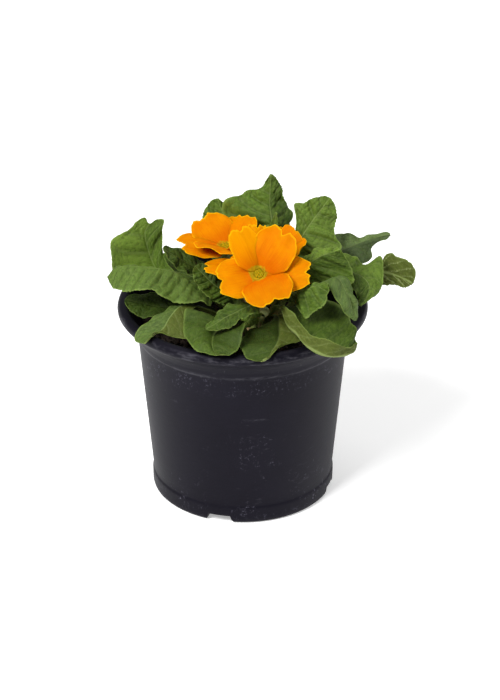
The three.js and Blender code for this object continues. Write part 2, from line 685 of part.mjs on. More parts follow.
// ---- blooms ------------------------------------------------------------------------------------
// face: the way the bloom looks; turns: the petals' angles about it; long, wide: each petal's share
// tilt: how far a petal's edges lie above and below its middle; lift: how far it lies above the next
const BLOOMS = {
  bloom_a: {
    centre: [7.7, -22, 123.6], face: [0, -0.643, 0.766], turns: [-67, -2, 55, 118, 194, 92],
    tilt: [0, 0, 0, 2, 0, 2], lift: [2, -0.6, 1.6, 0.4, -0.6, 0],
    length: 22, long: [0.82, 1, 0.95, 0.97, 0.8, 0.97], half: 11, wide: [1.08, 0.85, 0.97, 0.72, 0.95, 0.6],
    cup: [22, 12, 26, 32, 12, 20], curl: -5, rows: 4, cols: 6,
    stalk: [[5, -6, 96.2], [6, -9, 104]], back: 13,
  },
  bloom_b: {
    centre: [-8, 10.7, 122.2], face: [-0.05, 0.02, 1], turns: [-112, -20, 60, 128, 198],
    tilt: [-1.8, -1.8, -1.8, -1.8, -1.8], lift: [0, 0, 0, 0, 0],
    length: 18.5, long: [1, 1, 0.95, 1, 1.12], half: 11, wide: [1, 1, 1, 1, 1],
    cup: [26, 35, 35, 36, 18], curl: -8, rows: 4, cols: 4,
    stalk: [[2, 0, 96.2], [-3, 5, 103]], back: 12,
  },
  bloom_c: {
    centre: [19.2, 3, 125], face: [0.1, -0.2, 0.97], turns: [112, 184, 256, 328, 400],
    tilt: [2, 2, 2, 2, 2], lift: [0, 0, 0, 0, 0],
    length: 9, long: [1, 1, 1, 1, 1], half: 7, wide: [1, 1, 1, 1, 1],
    cup: [40, 30, 30, 30, 50], curl: 0, rows: 3, cols: 4,
    stalk: [[9, 0.5, 96.2], [13, 3, 106]], back: 11,
  },
  bloom_d: {
    centre: [1.5, -10.7, 121.3], face: [-0.2, -0.26, 0.93], turns: [180, 252, 324, 396, 468],
    tilt: [2, 2, 2, 2, 2], lift: [0, 0, 0, 0, 0],
    length: 17, long: [1, 0.35, 0.25, 0.3, 0.35], half: 8, wide: [1, 0.7, 0.7, 0.7, 0.7],
    cup: [18, 70, 75, 75, 70], curl: -5, rows: 3, cols: 4,
    stalk: [[2.5, -4.5, 96.2], [2.5, -6.5, 103]], back: 10,
  },
};

function bloomFrame(bloom) {
  const axis = vec(...bloom.face).normalize();
  const right = vec(1, 0, 0).addScaledVector(axis, -axis.x).normalize();
  const over = axis.clone().cross(right);
  return { axis, right, over, centre: vec(...bloom.centre) };
}

// A petal's upper face: a heart whose length is cut back in the middle and at both shoulders. It
// leaves the throat at its cup angle, bends evenly by its curl and tilts over the next petal.
function petalPlace(bloom, frame, k) {
  const turn = rad(bloom.turns[k]);
  const length = bloom.length * bloom.long[k];
  const half = bloom.half * bloom.wide[k];
  const cup = rad(bloom.cup[k]);
  const curl = rad(bloom.curl) || 0.001;
  return (s, t) => {
    const x = Math.abs(t);
    const cleft = 0.1 * Math.max(0, 1 - x / 0.34) ** 1.5;
    const shoulder = 0.38 * (Math.max(0, x - 0.45) / 0.55) ** 2;
    const reach = length * (1 - cleft - shoulder);
    const wide = half * (0.34 + 0.66 * Math.sin((Math.PI / 2) * Math.min(1, s / 0.5)) ** 0.9);
    const out = THROAT_R + (reach * (Math.sin(cup + curl * s) - Math.sin(cup))) / curl;
    let rise = (-reach * (Math.cos(cup + curl * s) - Math.cos(cup))) / curl;
    rise += (bloom.tilt[k] * t * wide) / half + bloom.lift[k] * ease(s / 0.3);
    rise += 0.5 * s * t * t * Math.sin(7 * s + 2 * k + 3 * t);
    rise += 0.5 * Math.cos(2 * Math.PI * t) * s * s;
    const px = out * Math.cos(turn) - t * wide * Math.sin(turn);
    const py = out * Math.sin(turn) + t * wide * Math.cos(turn);
    const place = frame.centre.clone().addScaledVector(frame.right, px);
    return place.addScaledVector(frame.over, py).addScaledVector(frame.axis, rise);
  };
}

// Rings about a line: each row is a distance along the axis from the throat, a radius and a lobe height.
function axisRings(frame, rows, turns) {
  return rows.map(([along, r, lobe, tip]) => {
    const line = [];
    for (let j = 0; j < turns; j += 1) {
      const a = (2 * Math.PI * j) / turns;
      const out = r + lobe * Math.cos(5 * a);
      const p = frame.centre.clone().addScaledVector(frame.axis, along + (tip ?? 0) * Math.cos(5 * a));
      p.addScaledVector(frame.right, out * Math.cos(a));
      line.push(p.addScaledVector(frame.over, out * Math.sin(a)));
    }
    return line;
  });
}

function corollaShape(bloom, frame) {
  const collar = axisRings(frame, [[-0.9, 2.3, 0], [-0.9, 4, 0], [0.7, 4, 0], [0.7, 2.3, 0]], COLLAR_TURNS);
  const places = [];
  const faces = [];
  collar.forEach((ring) => ring.forEach((p) => places.push(p.x, p.y, p.z)));
  for (let i = 0; i < 4; i += 1) {
    for (let j = 0; j < COLLAR_TURNS; j += 1) {
      const next = (j + 1) % COLLAR_TURNS;
      const a = i * COLLAR_TURNS + j;
      const b = i * COLLAR_TURNS + next;
      const c = ((i + 1) % 4) * COLLAR_TURNS + j;
      const d = ((i + 1) % 4) * COLLAR_TURNS + next;
      faces.push(a, b, d, a, d, c);
    }
  }
  const band = new THREE.BufferGeometry();
  band.setAttribute('position', new THREE.Float32BufferAttribute(places, 3));
  band.setIndex(faces);
  let whole = solidOf(band);
  for (let k = 0; k < bloom.turns.length; k += 1) {
    const petal = bladeSkin(bloom.rows, bloom.cols, petalPlace(bloom, frame, k), () => PETAL);
    whole = whole.add(solidOf(petal));
  }
  return shapeOf(whole);
}

function eyeShape(frame) {
  const rows = [[-7, 1.3, 0], [-1.5, 1.4, 0], [0.9, 1.8, 0.1], [0.8, 1.3, 0.1], [0.6, 0.8, 0]];
  return ringSkin(axisRings(frame, rows, 10));
}

// Pedicel and calyx in one: rings along the stalk, then a cup with five teeth about the flower tube.
function stalkShape(bloom, frame) {
  const low = frame.centre.clone().addScaledVector(frame.axis, -bloom.back);
  const line = lineThrough([...bloom.stalk.map((p) => vec(...p)), low]);
  const turns = 10;
  const rings = [];
  for (let i = 0; i < 5; i += 1) {
    const { place, way } = line(i / 5);
    if (i === 0) {
      way.set(0, 0, 1);
    }
    const side = vec(1, 0, 0).addScaledVector(way, -way.x).normalize();
    const front = way.clone().cross(side);
    const ring = [];
    for (let j = 0; j < turns; j += 1) {
      const a = (2 * Math.PI * j) / turns;
      const p = place.clone().addScaledVector(side, 1.1 * Math.cos(a));
      ring.push(p.addScaledVector(front, 1.1 * Math.sin(a)));
    }
    rings.push(ring);
  }
  const cup = axisRings(frame, [
    [-bloom.back, 1.5, 0.1],
    [1.5 - bloom.back, 2.4, 0.2],
    [-4.5, 2.6, 0.3],
    [-2.6, 2.9, 0.1, 0.7],
    [-2.7, 2.3, 0.05, 0.6],
    [-7.5, 1.8, 0],
  ], turns);
  // the cup's rings start where the last stalk ring's first point lies nearest
  const shift = cup[0].reduce((best, p, j) => {
    const d = p.distanceTo(rings[4][0]);
    return d < best[0] ? [d, j] : best;
  }, [1e9, 0])[1];
  cup.forEach((ring) => rings.push(ring.map((p, j) => ring[(j + shift) % turns])));
  return ringSkin(rings);
}

// ---- the whole plant ---------------------------------------------------------------------------
const plant = new THREE.Group();

function put(name, mesh) {
  mesh.name = name;
  plant.add(mesh);
}

put('pot', finish(potShape(), 0x2b2a30, 0.55));
put('soil', finish(soilShape(), 0x3a2c20, 0.95));
put('crown', finish(crownShape(), 0x7d8a4a, 0.7));
Object.entries(LEAVES).forEach(([name, leaf]) => {
  put(name, finish(leafShape(leaf), 0x5f7a3a, 0.6));
});
Object.entries(BLOOMS).forEach(([name, bloom]) => {
  const frame = bloomFrame(bloom);
  put(`${name}_corolla`, finish(corollaShape(bloom, frame), 0xf78501, 0.6));
  put(`${name}_eye`, finish(eyeShape(frame), 0xd9b420, 0.6));
  put(`${name}_stalk`, finish(stalkShape(bloom, frame), 0x86984e, 0.6));
});

export default plant;
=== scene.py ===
# A potted primrose: a round nursery pot, its compost, a short crown, a rosette of leaves and four blooms.
# Metres, +Z up, the front of the plant towards -Y, the pot's axis on Z and its foot at z = 0.
import math

import bpy
import numpy as np
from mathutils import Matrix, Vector


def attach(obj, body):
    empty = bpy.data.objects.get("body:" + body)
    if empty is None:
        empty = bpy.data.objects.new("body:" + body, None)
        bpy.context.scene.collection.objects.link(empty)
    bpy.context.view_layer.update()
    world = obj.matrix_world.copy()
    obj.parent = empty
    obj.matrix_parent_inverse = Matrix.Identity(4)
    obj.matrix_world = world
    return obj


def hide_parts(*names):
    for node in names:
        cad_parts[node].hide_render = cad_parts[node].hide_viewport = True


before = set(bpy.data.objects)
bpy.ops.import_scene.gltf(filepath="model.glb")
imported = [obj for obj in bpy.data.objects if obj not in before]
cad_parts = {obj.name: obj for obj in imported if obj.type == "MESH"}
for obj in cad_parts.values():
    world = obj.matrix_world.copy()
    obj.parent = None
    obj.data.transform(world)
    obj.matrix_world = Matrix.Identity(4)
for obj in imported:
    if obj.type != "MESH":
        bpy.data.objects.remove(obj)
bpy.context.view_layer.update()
mm = 0.001
print("frame loaded:", len(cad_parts), "nodes")


# shader nodes
def tone(red, green, blue):  # a colour as a screen shows it, 0 to 255, turned to linear light
    screen = np.array([red, green, blue]) / 255
    linear = np.where(screen < 0.04045, screen / 12.92, ((screen + 0.055) / 1.055) ** 2.4)
    return (*[float(part) for part in linear], 1.0)


class Wire:  # a socket of a material: sums and products on it add Math nodes
    def __init__(self, tree, socket=None):
        self.tree = tree
        self.socket = socket

    def add(self, kind, settings=None, inputs=None, out=0):  # any node: settings first, then its sockets
        node = self.tree.nodes.new("ShaderNode" + kind)
        for key, value in (settings or {}).items():
            setattr(node, key, value)
        for key, value in (inputs or {}).items():
            if isinstance(value, Wire):
                self.tree.links.new(value.socket, node.inputs[key])
            else:
                node.inputs[key].default_value = value
        return Wire(self.tree, node.outputs[out])

    def sum(self, operation, *parts):
        return self.add("Math", {"operation": operation}, dict(enumerate(parts)))

    def __add__(self, other):
        return self.sum("ADD", self, other)

    def __radd__(self, other):
        return self.sum("ADD", other, self)

    def __sub__(self, other):
        return self.sum("SUBTRACT", self, other)

    def __rsub__(self, other):
        return self.sum("SUBTRACT", other, self)

    def __mul__(self, other):
        return self.sum("MULTIPLY", self, other)

    def __rmul__(self, other):
        return self.sum("MULTIPLY", other, self)

    def __truediv__(self, other):
        return self.sum("DIVIDE", self, other)

    def __pow__(self, other):
        return self.sum("POWER", self, other)

    def size(self):  # the value without its sign
        return self.sum("ABSOLUTE", self)

    def least(self, other):
        return self.sum("MINIMUM", self, other)

    def most(self, other):
        return self.sum("MAXIMUM", self, other)

    def step(self, low, high):  # 0 at low, 1 at high, smooth between
        return self.add("MapRange", {"interpolation_type": "SMOOTHSTEP"}, {0: self, 1: low, 2: high})

    def parts(self):  # the three numbers of a vector
        return [self.add("SeparateXYZ", None, {0: self}, out=k) for k in range(3)]

    def noise(self, place, scale, detail=3.0, rough=0.55):
        inputs = {"Vector": place, "Scale": scale, "Detail": detail, "Roughness": rough}
        return self.add("TexNoise", {"noise_dimensions": "3D"}, inputs)

    def local(self):  # the place in the piece's own frame
        return self.add("TexCoord", None, None, out=3)

    def mark(self, name, out=2):  # a number kept at the points, or a vector by out=1
        return self.add("Attribute", {"attribute_name": name}, None, out=out)

    def bump(self, strength, distance, height):  # a normal that follows the height
        return self.add("Bump", None, {"Strength": strength, "Distance": distance, "Height": height})

    def blend(self, share, first, second):  # a colour between two colours
        settings = {"data_type": "RGBA", "blend_type": "MIX"}
        return self.add("Mix", settings, {0: share, 6: first, 7: second}, out=2)


def newFinish(name, fixed):  # a material, the pen that draws its nodes and its main shader
    material = bpy.data.materials.new(name)
    material.use_nodes = True
    shader = material.node_tree.nodes["Principled BSDF"]
    for key, value in fixed.items():
        shader.inputs[key].default_value = value
    return material, Wire(material.node_tree), shader


def feed(pen, shader, **sockets):  # links to the shader's sockets by name
    names = {"colour": "Base Color", "rough": "Roughness", "normal": "Normal"}
    for key, wire in sockets.items():
        pen.tree.links.new(wire.socket, shader.inputs[names[key]])


# meshes
def ease(x):  # the smooth step: three times the square less twice the cube, held flat beyond 0 and 1
    held = np.clip(x, 0, 1)
    return held * held * (3 - 2 * held)


def unit(vectors):  # vectors over their lengths
    return vectors / np.maximum(np.linalg.norm(vectors, axis=-1, keepdims=True), 1e-12)


def dot(first, second):  # the sum of the products, with the last axis kept
    return np.sum(first * second, axis=-1, keepdims=True)


def makePiece(name, points, faces, material, nodes, marks=None):
    # points: n by 3; faces: arrays of vertex numbers, 3 or 4 to a face; marks: values kept at the points
    mesh = bpy.data.meshes.new(name)
    mesh.vertices.add(len(points))
    mesh.vertices.foreach_set("co", np.ascontiguousarray(points, dtype=np.float32).ravel())
    corners = np.concatenate([part.ravel() for part in faces]).astype(np.int32)
    sizes = np.concatenate([np.full(len(part), part.shape[1]) for part in faces])
    starts = np.concatenate([[0], np.cumsum(sizes)[:-1]]).astype(np.int32)
    mesh.loops.add(len(corners))
    mesh.loops.foreach_set("vertex_index", corners)
    mesh.polygons.add(len(sizes))
    mesh.polygons.foreach_set("loop_start", starts)
    mesh.polygons.foreach_set("use_smooth", np.ones(len(sizes), dtype=bool))
    mesh.update(calc_edges=True)
    mesh.validate()
    for key, values in (marks or {}).items():
        flat = np.ascontiguousarray(values, dtype=np.float32)
        if flat.ndim == 2:
            mesh.attributes.new(key, "FLOAT_VECTOR", "POINT").data.foreach_set("vector", flat.ravel())
        else:
            mesh.attributes.new(key, "FLOAT", "POINT").data.foreach_set("value", flat)
    mesh.materials.append(material)
    piece = bpy.data.objects.new(name, mesh)
    bpy.context.scene.collection.objects.link(piece)
    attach(piece, "root")
    if nodes:
        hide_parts(*nodes)
    return piece


def gridNumbers(rows, cols):  # the vertex numbers of a grid
    return np.arange(rows * cols).reshape(rows, cols)


def wrapped(numbers):  # the first column again after the last, so that the faces close in a ring
    return np.concatenate([numbers, numbers[:, :1]], axis=1)


def circle(count):  # the angles of points spread evenly round a circle
    return np.linspace(0, 2 * np.pi, count, endpoint=False)


def quadsOf(numbers):  # the faces between the rows and columns of a grid of vertex numbers
    parts = (numbers[:-1, :-1], numbers[:-1, 1:], numbers[1:, 1:], numbers[1:, :-1])
    return np.stack([part.ravel() for part in parts], axis=1)


def sheetSolid(upper, thick):
    # A thin closed solid: the lower face lies a thickness under the upper one along its normal, which
    # is the cross product of the steps across and along the grid.
    rows, cols = upper.shape[:2]
    along = np.gradient(upper, axis=0)
    across = np.gradient(upper, axis=1)
    normal = unit(np.cross(across, along))
    lower = upper - normal * thick[..., None]
    top = gridNumbers(rows, cols)
    low = top + rows * cols
    walls = []
    for line in (top[0], top[::-1, 0], top[-1, ::-1], top[:, -1]):
        under = line + rows * cols
        walls.append(np.stack([line[:-1], under[:-1], under[1:], line[1:]], axis=1))
    faces = np.concatenate([quadsOf(top), quadsOf(low)[:, ::-1], *walls])
    return np.concatenate([upper.reshape(-1, 3), lower.reshape(-1, 3)]), faces


def ringSolid(rings):
    # A closed skin over rings of equal length, shut at both ends with a fan to the ring's mean.
    rows, turns = rings.shape[:2]
    numbers = gridNumbers(rows, turns)
    closed = wrapped(numbers)
    points = np.concatenate([rings.reshape(-1, 3), rings[:1].mean(axis=1), rings[-1:].mean(axis=1)])
    low = np.full(turns, rows * turns)
    first = np.stack([low, closed[0, 1:], closed[0, :-1]], axis=1)
    last = np.stack([low + 1, closed[-1, :-1], closed[-1, 1:]], axis=1)
    return points, [quadsOf(closed), first, last]


def lineThrough(points, u):
    # A Catmull-Rom line through the points, u from 0 to 1 by the length of the chords: place and way.
    held = np.vstack([2 * points[0] - points[1], points, 2 * points[-1] - points[-2]])
    chords = np.linalg.norm(np.diff(points, axis=0), axis=1)
    knots = np.concatenate([[0], np.cumsum(chords)]) / chords.sum()
    k = np.clip(np.searchsorted(knots, u, side="right") - 1, 0, len(chords) - 1)
    t = ((u - knots[k]) / (knots[k + 1] - knots[k]))[..., None]
    a, b, c, d = held[k], held[k + 1], held[k + 2], held[k + 3]
    place = 0.5 * (2 * b + (c - a) * t + (2 * a - 5 * b + 4 * c - d) * t**2)
    place = place + 0.5 * (3 * b - a - 3 * c + d) * t**3
    way = (c - a) + 2 * (2 * a - 5 * b + 4 * c - d) * t + 3 * (3 * b - a - 3 * c + d) * t**2
    return place, unit(way)


def cellNet(x, y, size, random):
    # Cells about jittered seeds: the gap between the nearest and the next seed, 0 on the net's lines.
    low, high = (x.min(), y.min()), (x.max(), y.max())
    countX = int((high[0] - low[0]) / size) + 3
    countY = int((high[1] - low[1]) / size) + 3
    seedX, seedY = np.meshgrid(np.arange(countX), np.arange(countY), indexing="ij")
    seedX = low[0] + size * (seedX - 0.5 + random.uniform(-0.38, 0.38, seedX.shape))
    seedY = low[1] + size * (seedY - 0.5 + random.uniform(-0.38, 0.38, seedY.shape))
    apart = (x.reshape(-1, 1) - seedX.reshape(1, -1)) ** 2
    apart = apart + (y.reshape(-1, 1) - seedY.reshape(1, -1)) ** 2
    nearest = np.sqrt(np.partition(apart, 1, axis=1)[:, :2])
    return ((nearest[:, 1] - nearest[:, 0]) / size).reshape(x.shape)


# camera, light and floor
# aim and distance in metres, height in degrees above the horizon, lens in millimetres
view = {"aim": (0.0035, 0.0, 0.0715), "distance": 1.3, "height": 28.0, "lens": 192.8}
rise = math.radians(view["height"])
lensData = bpy.data.cameras.new("camera")
lensData.sensor_fit = "HORIZONTAL"
lensData.sensor_width = 36.0
lensData.lens = view["lens"]
lensData.clip_end = 20.0
camera = bpy.data.objects.new("camera", lensData)
back = Vector((0.0, -math.cos(rise), math.sin(rise)))
camera.location = Vector(view["aim"]) + back * view["distance"]
camera.rotation_euler = (-back).to_track_quat("-Z", "Y").to_euler()
bpy.context.scene.collection.objects.link(camera)
bpy.context.scene.camera = camera
bpy.context.scene.view_settings.view_transform = "Standard"
bpy.context.scene.view_settings.look = "None"

lamps = {  # place, aim, width and depth in metres, power in watts
    "keyLight": ((-0.7, -0.8, 1.2), (0, 0, 0.1), (0.6, 0.6), 28.5),
    "fillLight": ((1.2, -0.1, 0.5), (0, 0, 0.08), (0.4, 1.0), 5.0),
    "topLight": ((0.1, 0.5, 1.4), (0, 0, 0.1), (1.1, 0.8), 6.0),
}
for name, (place, aim, sides, power) in lamps.items():
    data = bpy.data.lights.new(name, "AREA")
    data.shape = "RECTANGLE"
    data.size, data.size_y = sides
    data.energy = power
    lamp = bpy.data.objects.new(name, data)
    lamp.location = place
    lamp.rotation_euler = (Vector(aim) - Vector(place)).to_track_quat("-Z", "Y").to_euler()
    bpy.context.scene.collection.objects.link(lamp)
world = bpy.data.worlds.new("studio")
world.use_nodes = True
world.node_tree.nodes["Background"].inputs["Color"].default_value = (1.0, 1.0, 1.0, 1.0)
world.node_tree.nodes["Background"].inputs["Strength"].default_value = 0.26
bpy.context.scene.world = world

paper, pen, shader = newFinish("paleFloor", {
    "Roughness": 0.9, "Specular IOR Level": 0.1, "Emission Color": (1, 1, 1, 1), "Emission Strength": 0.38,
})
local = pen.local()
cloud = pen.noise(local, 3.0)
feed(pen, shader, colour=pen.blend(cloud, (0.9, 0.9, 0.9, 1), (0.94, 0.94, 0.94, 1)))
floorMesh = bpy.data.meshes.new("floor")
corners = [(-4, -4, 0), (4, -4, 0), (4, 4, 0), (-4, 4, 0)]
floorMesh.from_pydata(corners, [], [(0, 1, 2, 3)])
floorMesh.materials.append(paper)
floor = bpy.data.objects.new("floor", floorMesh)
bpy.context.scene.collection.objects.link(floor)
print("camera, light and floor set")


# pot
pot = {
    "turns": 360,
    "profile": [  # radius, height and how many steps to the next point, in millimetres
        (0, 0, 6), (25.2, 0, 2), (26.2, 0.3, 2), (27.6, 2.7, 2), (28.6, 3, 4), (38.6, 3, 2), (39.2, 2.6, 2),
        (40.3, 0.35, 2), (40.9, 0, 3), (42.6, 0, 2), (43.4, 0.3, 2), (44.2, 1.1, 2), (44.5, 2.2, 4),
        (44.6, 7.7, 2), (44.5, 8.5, 2), (44.1, 9.3, 2), (44.1, 10, 26), (50.6, 81.6, 2), (50.8, 82.6, 2),
        (51.3, 83.3, 2), (51.5, 84.2, 3), (52, 86.2, 3), (53, 88.4, 3), (54.3, 90.4, 3), (56.2, 92.2, 3),
        (58.4, 93.7, 2), (59.6, 94.5, 2), (60.1, 95.3, 2), (60.2, 96.3, 2), (59.9, 97.5, 2),
        (59.2, 98.5, 2), (58.1, 99.1, 2), (57.0, 99.3, 2), (56.0, 99.1, 2), (55.3, 98.3, 2), (54.8, 97, 2),
        (54.2, 95, 4), (52.2, 90, 4), (50.4, 84.6, 2), (49.6, 82, 14), (43.1, 10.4, 2), (42.6, 5.5, 2),
        (41.6, 4.5, 4), (0, 4.5, 1),
    ],
    "notches": {"count": 4, "width": 12.0, "height": 4.0, "turn": -105.0, "radius": 43, "edge": 0.9},
    "foot": {"inside": 38.7, "height": 6},
    "sway": {"share": 0.0012, "turn": 0.6, "height": 99},
    "drains": {"count": 4, "radius": 4.0, "ring": 33.5, "sides": 40, "span": (-3.0, 9.0)},
    "ledge": 83.2, "lip": (58.8, 59.9),
}
potTones = {
    "deep": tone(10, 9, 16), "dark": tone(16, 15, 23), "dust": tone(78, 77, 84), "worn": tone(96, 95, 102),
    "speck": tone(98, 96, 110),
}


def potPoints():
    # The profile turned about Z. Where a notch lies, heights below it are raised to the notch's arch. The
    # circle swells and shrinks twice in a turn by its sway, which grows with the height.
    radii, heights = [], []
    outline = pot["profile"]
    for (r0, z0, steps), (r1, z1, _) in zip(outline, outline[1:]):
        share = np.arange(steps) / steps
        radii.append(r0 + (r1 - r0) * share)
        heights.append(z0 + (z1 - z0) * share)
    radius = np.append(np.concatenate(radii), 0.0)[1:-1]
    height = np.append(np.concatenate(heights), outline[-1][1])[1:-1]
    angle = circle(pot["turns"])
    notch, foot, sway = pot["notches"], pot["foot"], pot["sway"]
    pitch = 2 * np.pi / notch["count"]
    off = np.mod(angle - math.radians(notch["turn"]) + pitch / 2, pitch) - pitch / 2
    past = np.abs(off) * notch["radius"] - notch["width"] / 2 + 0.5
    arch = notch["height"] * (1 - ease(past / notch["edge"]))
    ringZ = np.repeat(height[:, None], len(angle), axis=1)
    inFoot = ((radius > foot["inside"]) & (height < foot["height"]))[:, None]
    ringZ = np.where(inFoot, np.maximum(ringZ, arch[None, :]), ringZ)
    grown = ease(height / sway["height"])[:, None]
    swell = 1 + sway["share"] * np.sin(2 * angle + sway["turn"])[None, :] * grown
    x = radius[:, None] * np.cos(angle) * swell
    y = radius[:, None] * np.sin(angle) * swell
    return np.stack([x, y, ringZ], axis=-1) * mm


def drillRods():
    # Upright closed rods through the floor, one for each drain, halfway between the notches.
    points, faces = [], []
    drains = pot["drains"]
    ring = circle(drains["sides"])
    for k in range(drains["count"]):
        turn = math.radians(pot["notches"]["turn"] + 45 + 90 * k)
        flat = np.stack([np.cos(ring), np.sin(ring)], axis=1) * drains["radius"]
        flat = flat + drains["ring"] * np.array([math.cos(turn), math.sin(turn)])
        rods = np.stack([np.column_stack([flat, np.full(len(flat), z)]) for z in drains["span"]])
        rodPoints, rodFaces = ringSolid(rods * mm)
        faces += [part + sum(len(p) for p in points) for part in rodFaces]
        points.append(rodPoints)
    return np.concatenate(points), faces


def cutDrains(piece):  # the rods taken out of the pot's floor by a Boolean, and its result kept as the mesh
    points, faces = drillRods()
    drill = bpy.data.meshes.new("drill")
    drill.from_pydata(points.tolist(), [], [face for part in faces for face in part.tolist()])
    rods = bpy.data.objects.new("drill", drill)
    bpy.context.scene.collection.objects.link(rods)
    cut = piece.modifiers.new("drains", "BOOLEAN")
    cut.operation = "DIFFERENCE"
    cut.solver = "EXACT"
    cut.object = rods
    bpy.context.view_layer.update()
    result = bpy.data.meshes.new_from_object(piece.evaluated_get(bpy.context.evaluated_depsgraph_get()))
    piece.modifiers.clear()
    piece.data = result
    bpy.data.objects.remove(rods)


def potFinish():
    # Bluish charcoal, cloudy from deep to dark. Pale dust lies in specks under the ledge, by the foot and in
    # loose zones, and in smears along the wall. The lip and the ledge are worn, and the wall has scratches.
    material, pen, shader = newFinish("charcoalPlastic", {
        "Specular IOR Level": 0.12, "Specular Tint": (0.85, 0.8, 1.0, 1.0),
    })
    local = pen.local()
    x, y, z = local.parts()
    radius = (x * x + y * y) ** 0.5
    lowDust = pen.noise(local, 24.0, 5.0, 0.6)
    grain = pen.noise(local, 1500.0, 2.0)
    squeeze = pen.add("Mapping", None, {"Vector": local, "Scale": (1.0, 1.0, 3.4)})
    smear = pen.noise(squeeze, 70.0, 6.0, 0.68)
    nearLedge = 1 - ((z - 0.078).size() / 0.007).step(0.2, 1.0)
    nearFoot = 1 - z.step(0.003, 0.018)
    zones = pen.noise(local, 36.0, 4.0, 0.6).step(0.52, 0.7) + nearLedge * 0.7 + nearFoot * 0.6
    patchy = pen.noise(local, 110.0, 3.0).step(0.4, 0.65)
    specks = pen.noise(local, 620.0, 5.0, 0.75).step(0.54, 0.72) * zones * patchy
    smears = smear.step(0.6, 0.78) * lowDust.step(0.42, 0.62)
    lipWear = pen.noise(squeeze, 120.0, 6.0, 0.72).step(0.48, 0.68)
    lip = radius.step(pot["lip"][0] * mm, pot["lip"][1] * mm) * lipWear
    onLedge = 1 - ((z - pot["ledge"] * mm).size() / 0.0016).step(0.2, 1.0)
    ledge = onLedge * pen.noise(squeeze, 120.0, 4.0, 0.7).step(0.4, 0.7)
    slide = {"Vector": local, "Rotation": (0.3, 0.5, 0.4), "Scale": (1.0, 1.0, 0.06)}
    scratchMap = pen.add("Mapping", None, slide)
    scratch = pen.noise(scratchMap, 900.0, 2.0).step(0.71, 0.76) * lowDust.step(0.5, 0.6)
    dark = pen.blend(lowDust.step(0.3, 0.75), potTones["deep"], potTones["dark"])
    dusty = pen.blend((smears * 0.5).least(1.0), dark, potTones["dust"])
    wear = (lip * 0.35 + ledge * 0.25 + scratch * 0.35).least(1.0)
    worn = pen.blend(wear, dusty, potTones["worn"])
    spotted = pen.blend((specks * 1.3).least(0.8), worn, potTones["speck"])
    rough = 0.44 + lowDust * 0.12 + smears * 0.2 + specks * 0.2
    height = grain * 0.4 + smear * 0.8 + specks * 0.9
    bump = pen.bump(0.35, 0.00025, height)
    feed(pen, shader, colour=spotted, rough=rough, normal=bump)
    return material


points, faces = ringSolid(potPoints())
potPiece = makePiece("potShell", points, [part[:, ::-1] for part in faces], potFinish(), ["pot"])
cutDrains(potPiece)
print("pot made:", len(potPiece.data.polygons), "faces")


# compost
soil = {
    "rings": 110, "turns": 250, "edge": 48.4, "level": 82.8, "wellFloor": 74.7,
    "crown": (6.0, -2.0, 8.1),  # place and radius of the well that the crown stands in
    "wall": [(41.3, 4.8), (42.5, 10), (49.1, 81.4)],  # radius and height up the pot's wall
    "crumbs": {"count": 900, "reach": 46.5, "clear": 11, "rows": 5, "turns": 8, "seed": 11},
}


def lumps(x, y):  # the same slow relief that the compost's solid has, then finer waves, in millimetres
    slow = np.sin(0.61 * x + 0.4) * np.cos(0.53 * y) + 0.6 * np.sin(1.3 * x - 1.1 * y)
    fine = 0.45 * np.sin(2.1 * x + 1.7 * y + 2 * np.sin(0.9 * y)) + 0.35 * np.sin(3.3 * y - 2.3 * x)
    grain = 0.25 * np.sin(5.1 * x + 3 * np.sin(1.7 * y)) * np.sin(4.7 * y + 2 * np.sin(2.1 * x))
    return 0.7 * slow + fine + grain


def soilFinish():
    # Dark brown in a coarse cloud, with paler fibres where a finer one is high.
    material, pen, shader = newFinish("peatCompost", {"Specular IOR Level": 0.3})
    local = pen.local()
    coarse = pen.noise(local, 220.0, 6.0, 0.7)
    fine = pen.noise(local, 900.0, 4.0, 0.6)
    brown = pen.blend(coarse.step(0.3, 0.7), tone(24, 18, 13), tone(50, 38, 28))
    pale = pen.blend(fine.step(0.62, 0.74) * 0.6, brown, tone(92, 76, 58))
    rough = 0.78 + fine * 0.2
    bump = pen.bump(0.9, 0.0008, coarse * 0.6 + fine * 0.4)
    feed(pen, shader, colour=pale, rough=rough, normal=bump)
    return material


def inwards(radius):  # 0 at the bed's edge, rising by 1 every 40 mm towards the crown
    return (soil["edge"] - radius) / 40


def bedRings():
    # Rings up the pot's wall, then inwards over the lumpy top, their middle moving from the pot's axis to
    # the crown's, and last down into the crown's well. The lumps die away at both edges of the top.
    angle = circle(soil["turns"])
    wallRadius, wallHeight = np.array(soil["wall"]).T[:, :, None]
    wall = [wallRadius * np.cos(angle), wallRadius * np.sin(angle), wallHeight + 0 * angle]
    radius = np.linspace(soil["edge"], soil["crown"][2] + 0.4, soil["rings"])
    share = inwards(radius)[:, None]
    middle = np.array(soil["crown"][:2]) * share[..., None]
    x = middle[..., 0] + radius[:, None] * np.cos(angle)
    y = middle[..., 1] + radius[:, None] * np.sin(angle)
    calm = ease((radius - 8.5) / 3)[:, None] * ease((48.6 - radius) / 3)[:, None]
    top = np.stack([x, y, soil["level"] + 1.0 * share + lumps(x, y) * calm], axis=-1)
    well = top[-1:].copy()
    well[..., 2] = soil["wellFloor"]
    return np.concatenate([np.stack(wall, axis=-1), top, well]) * mm


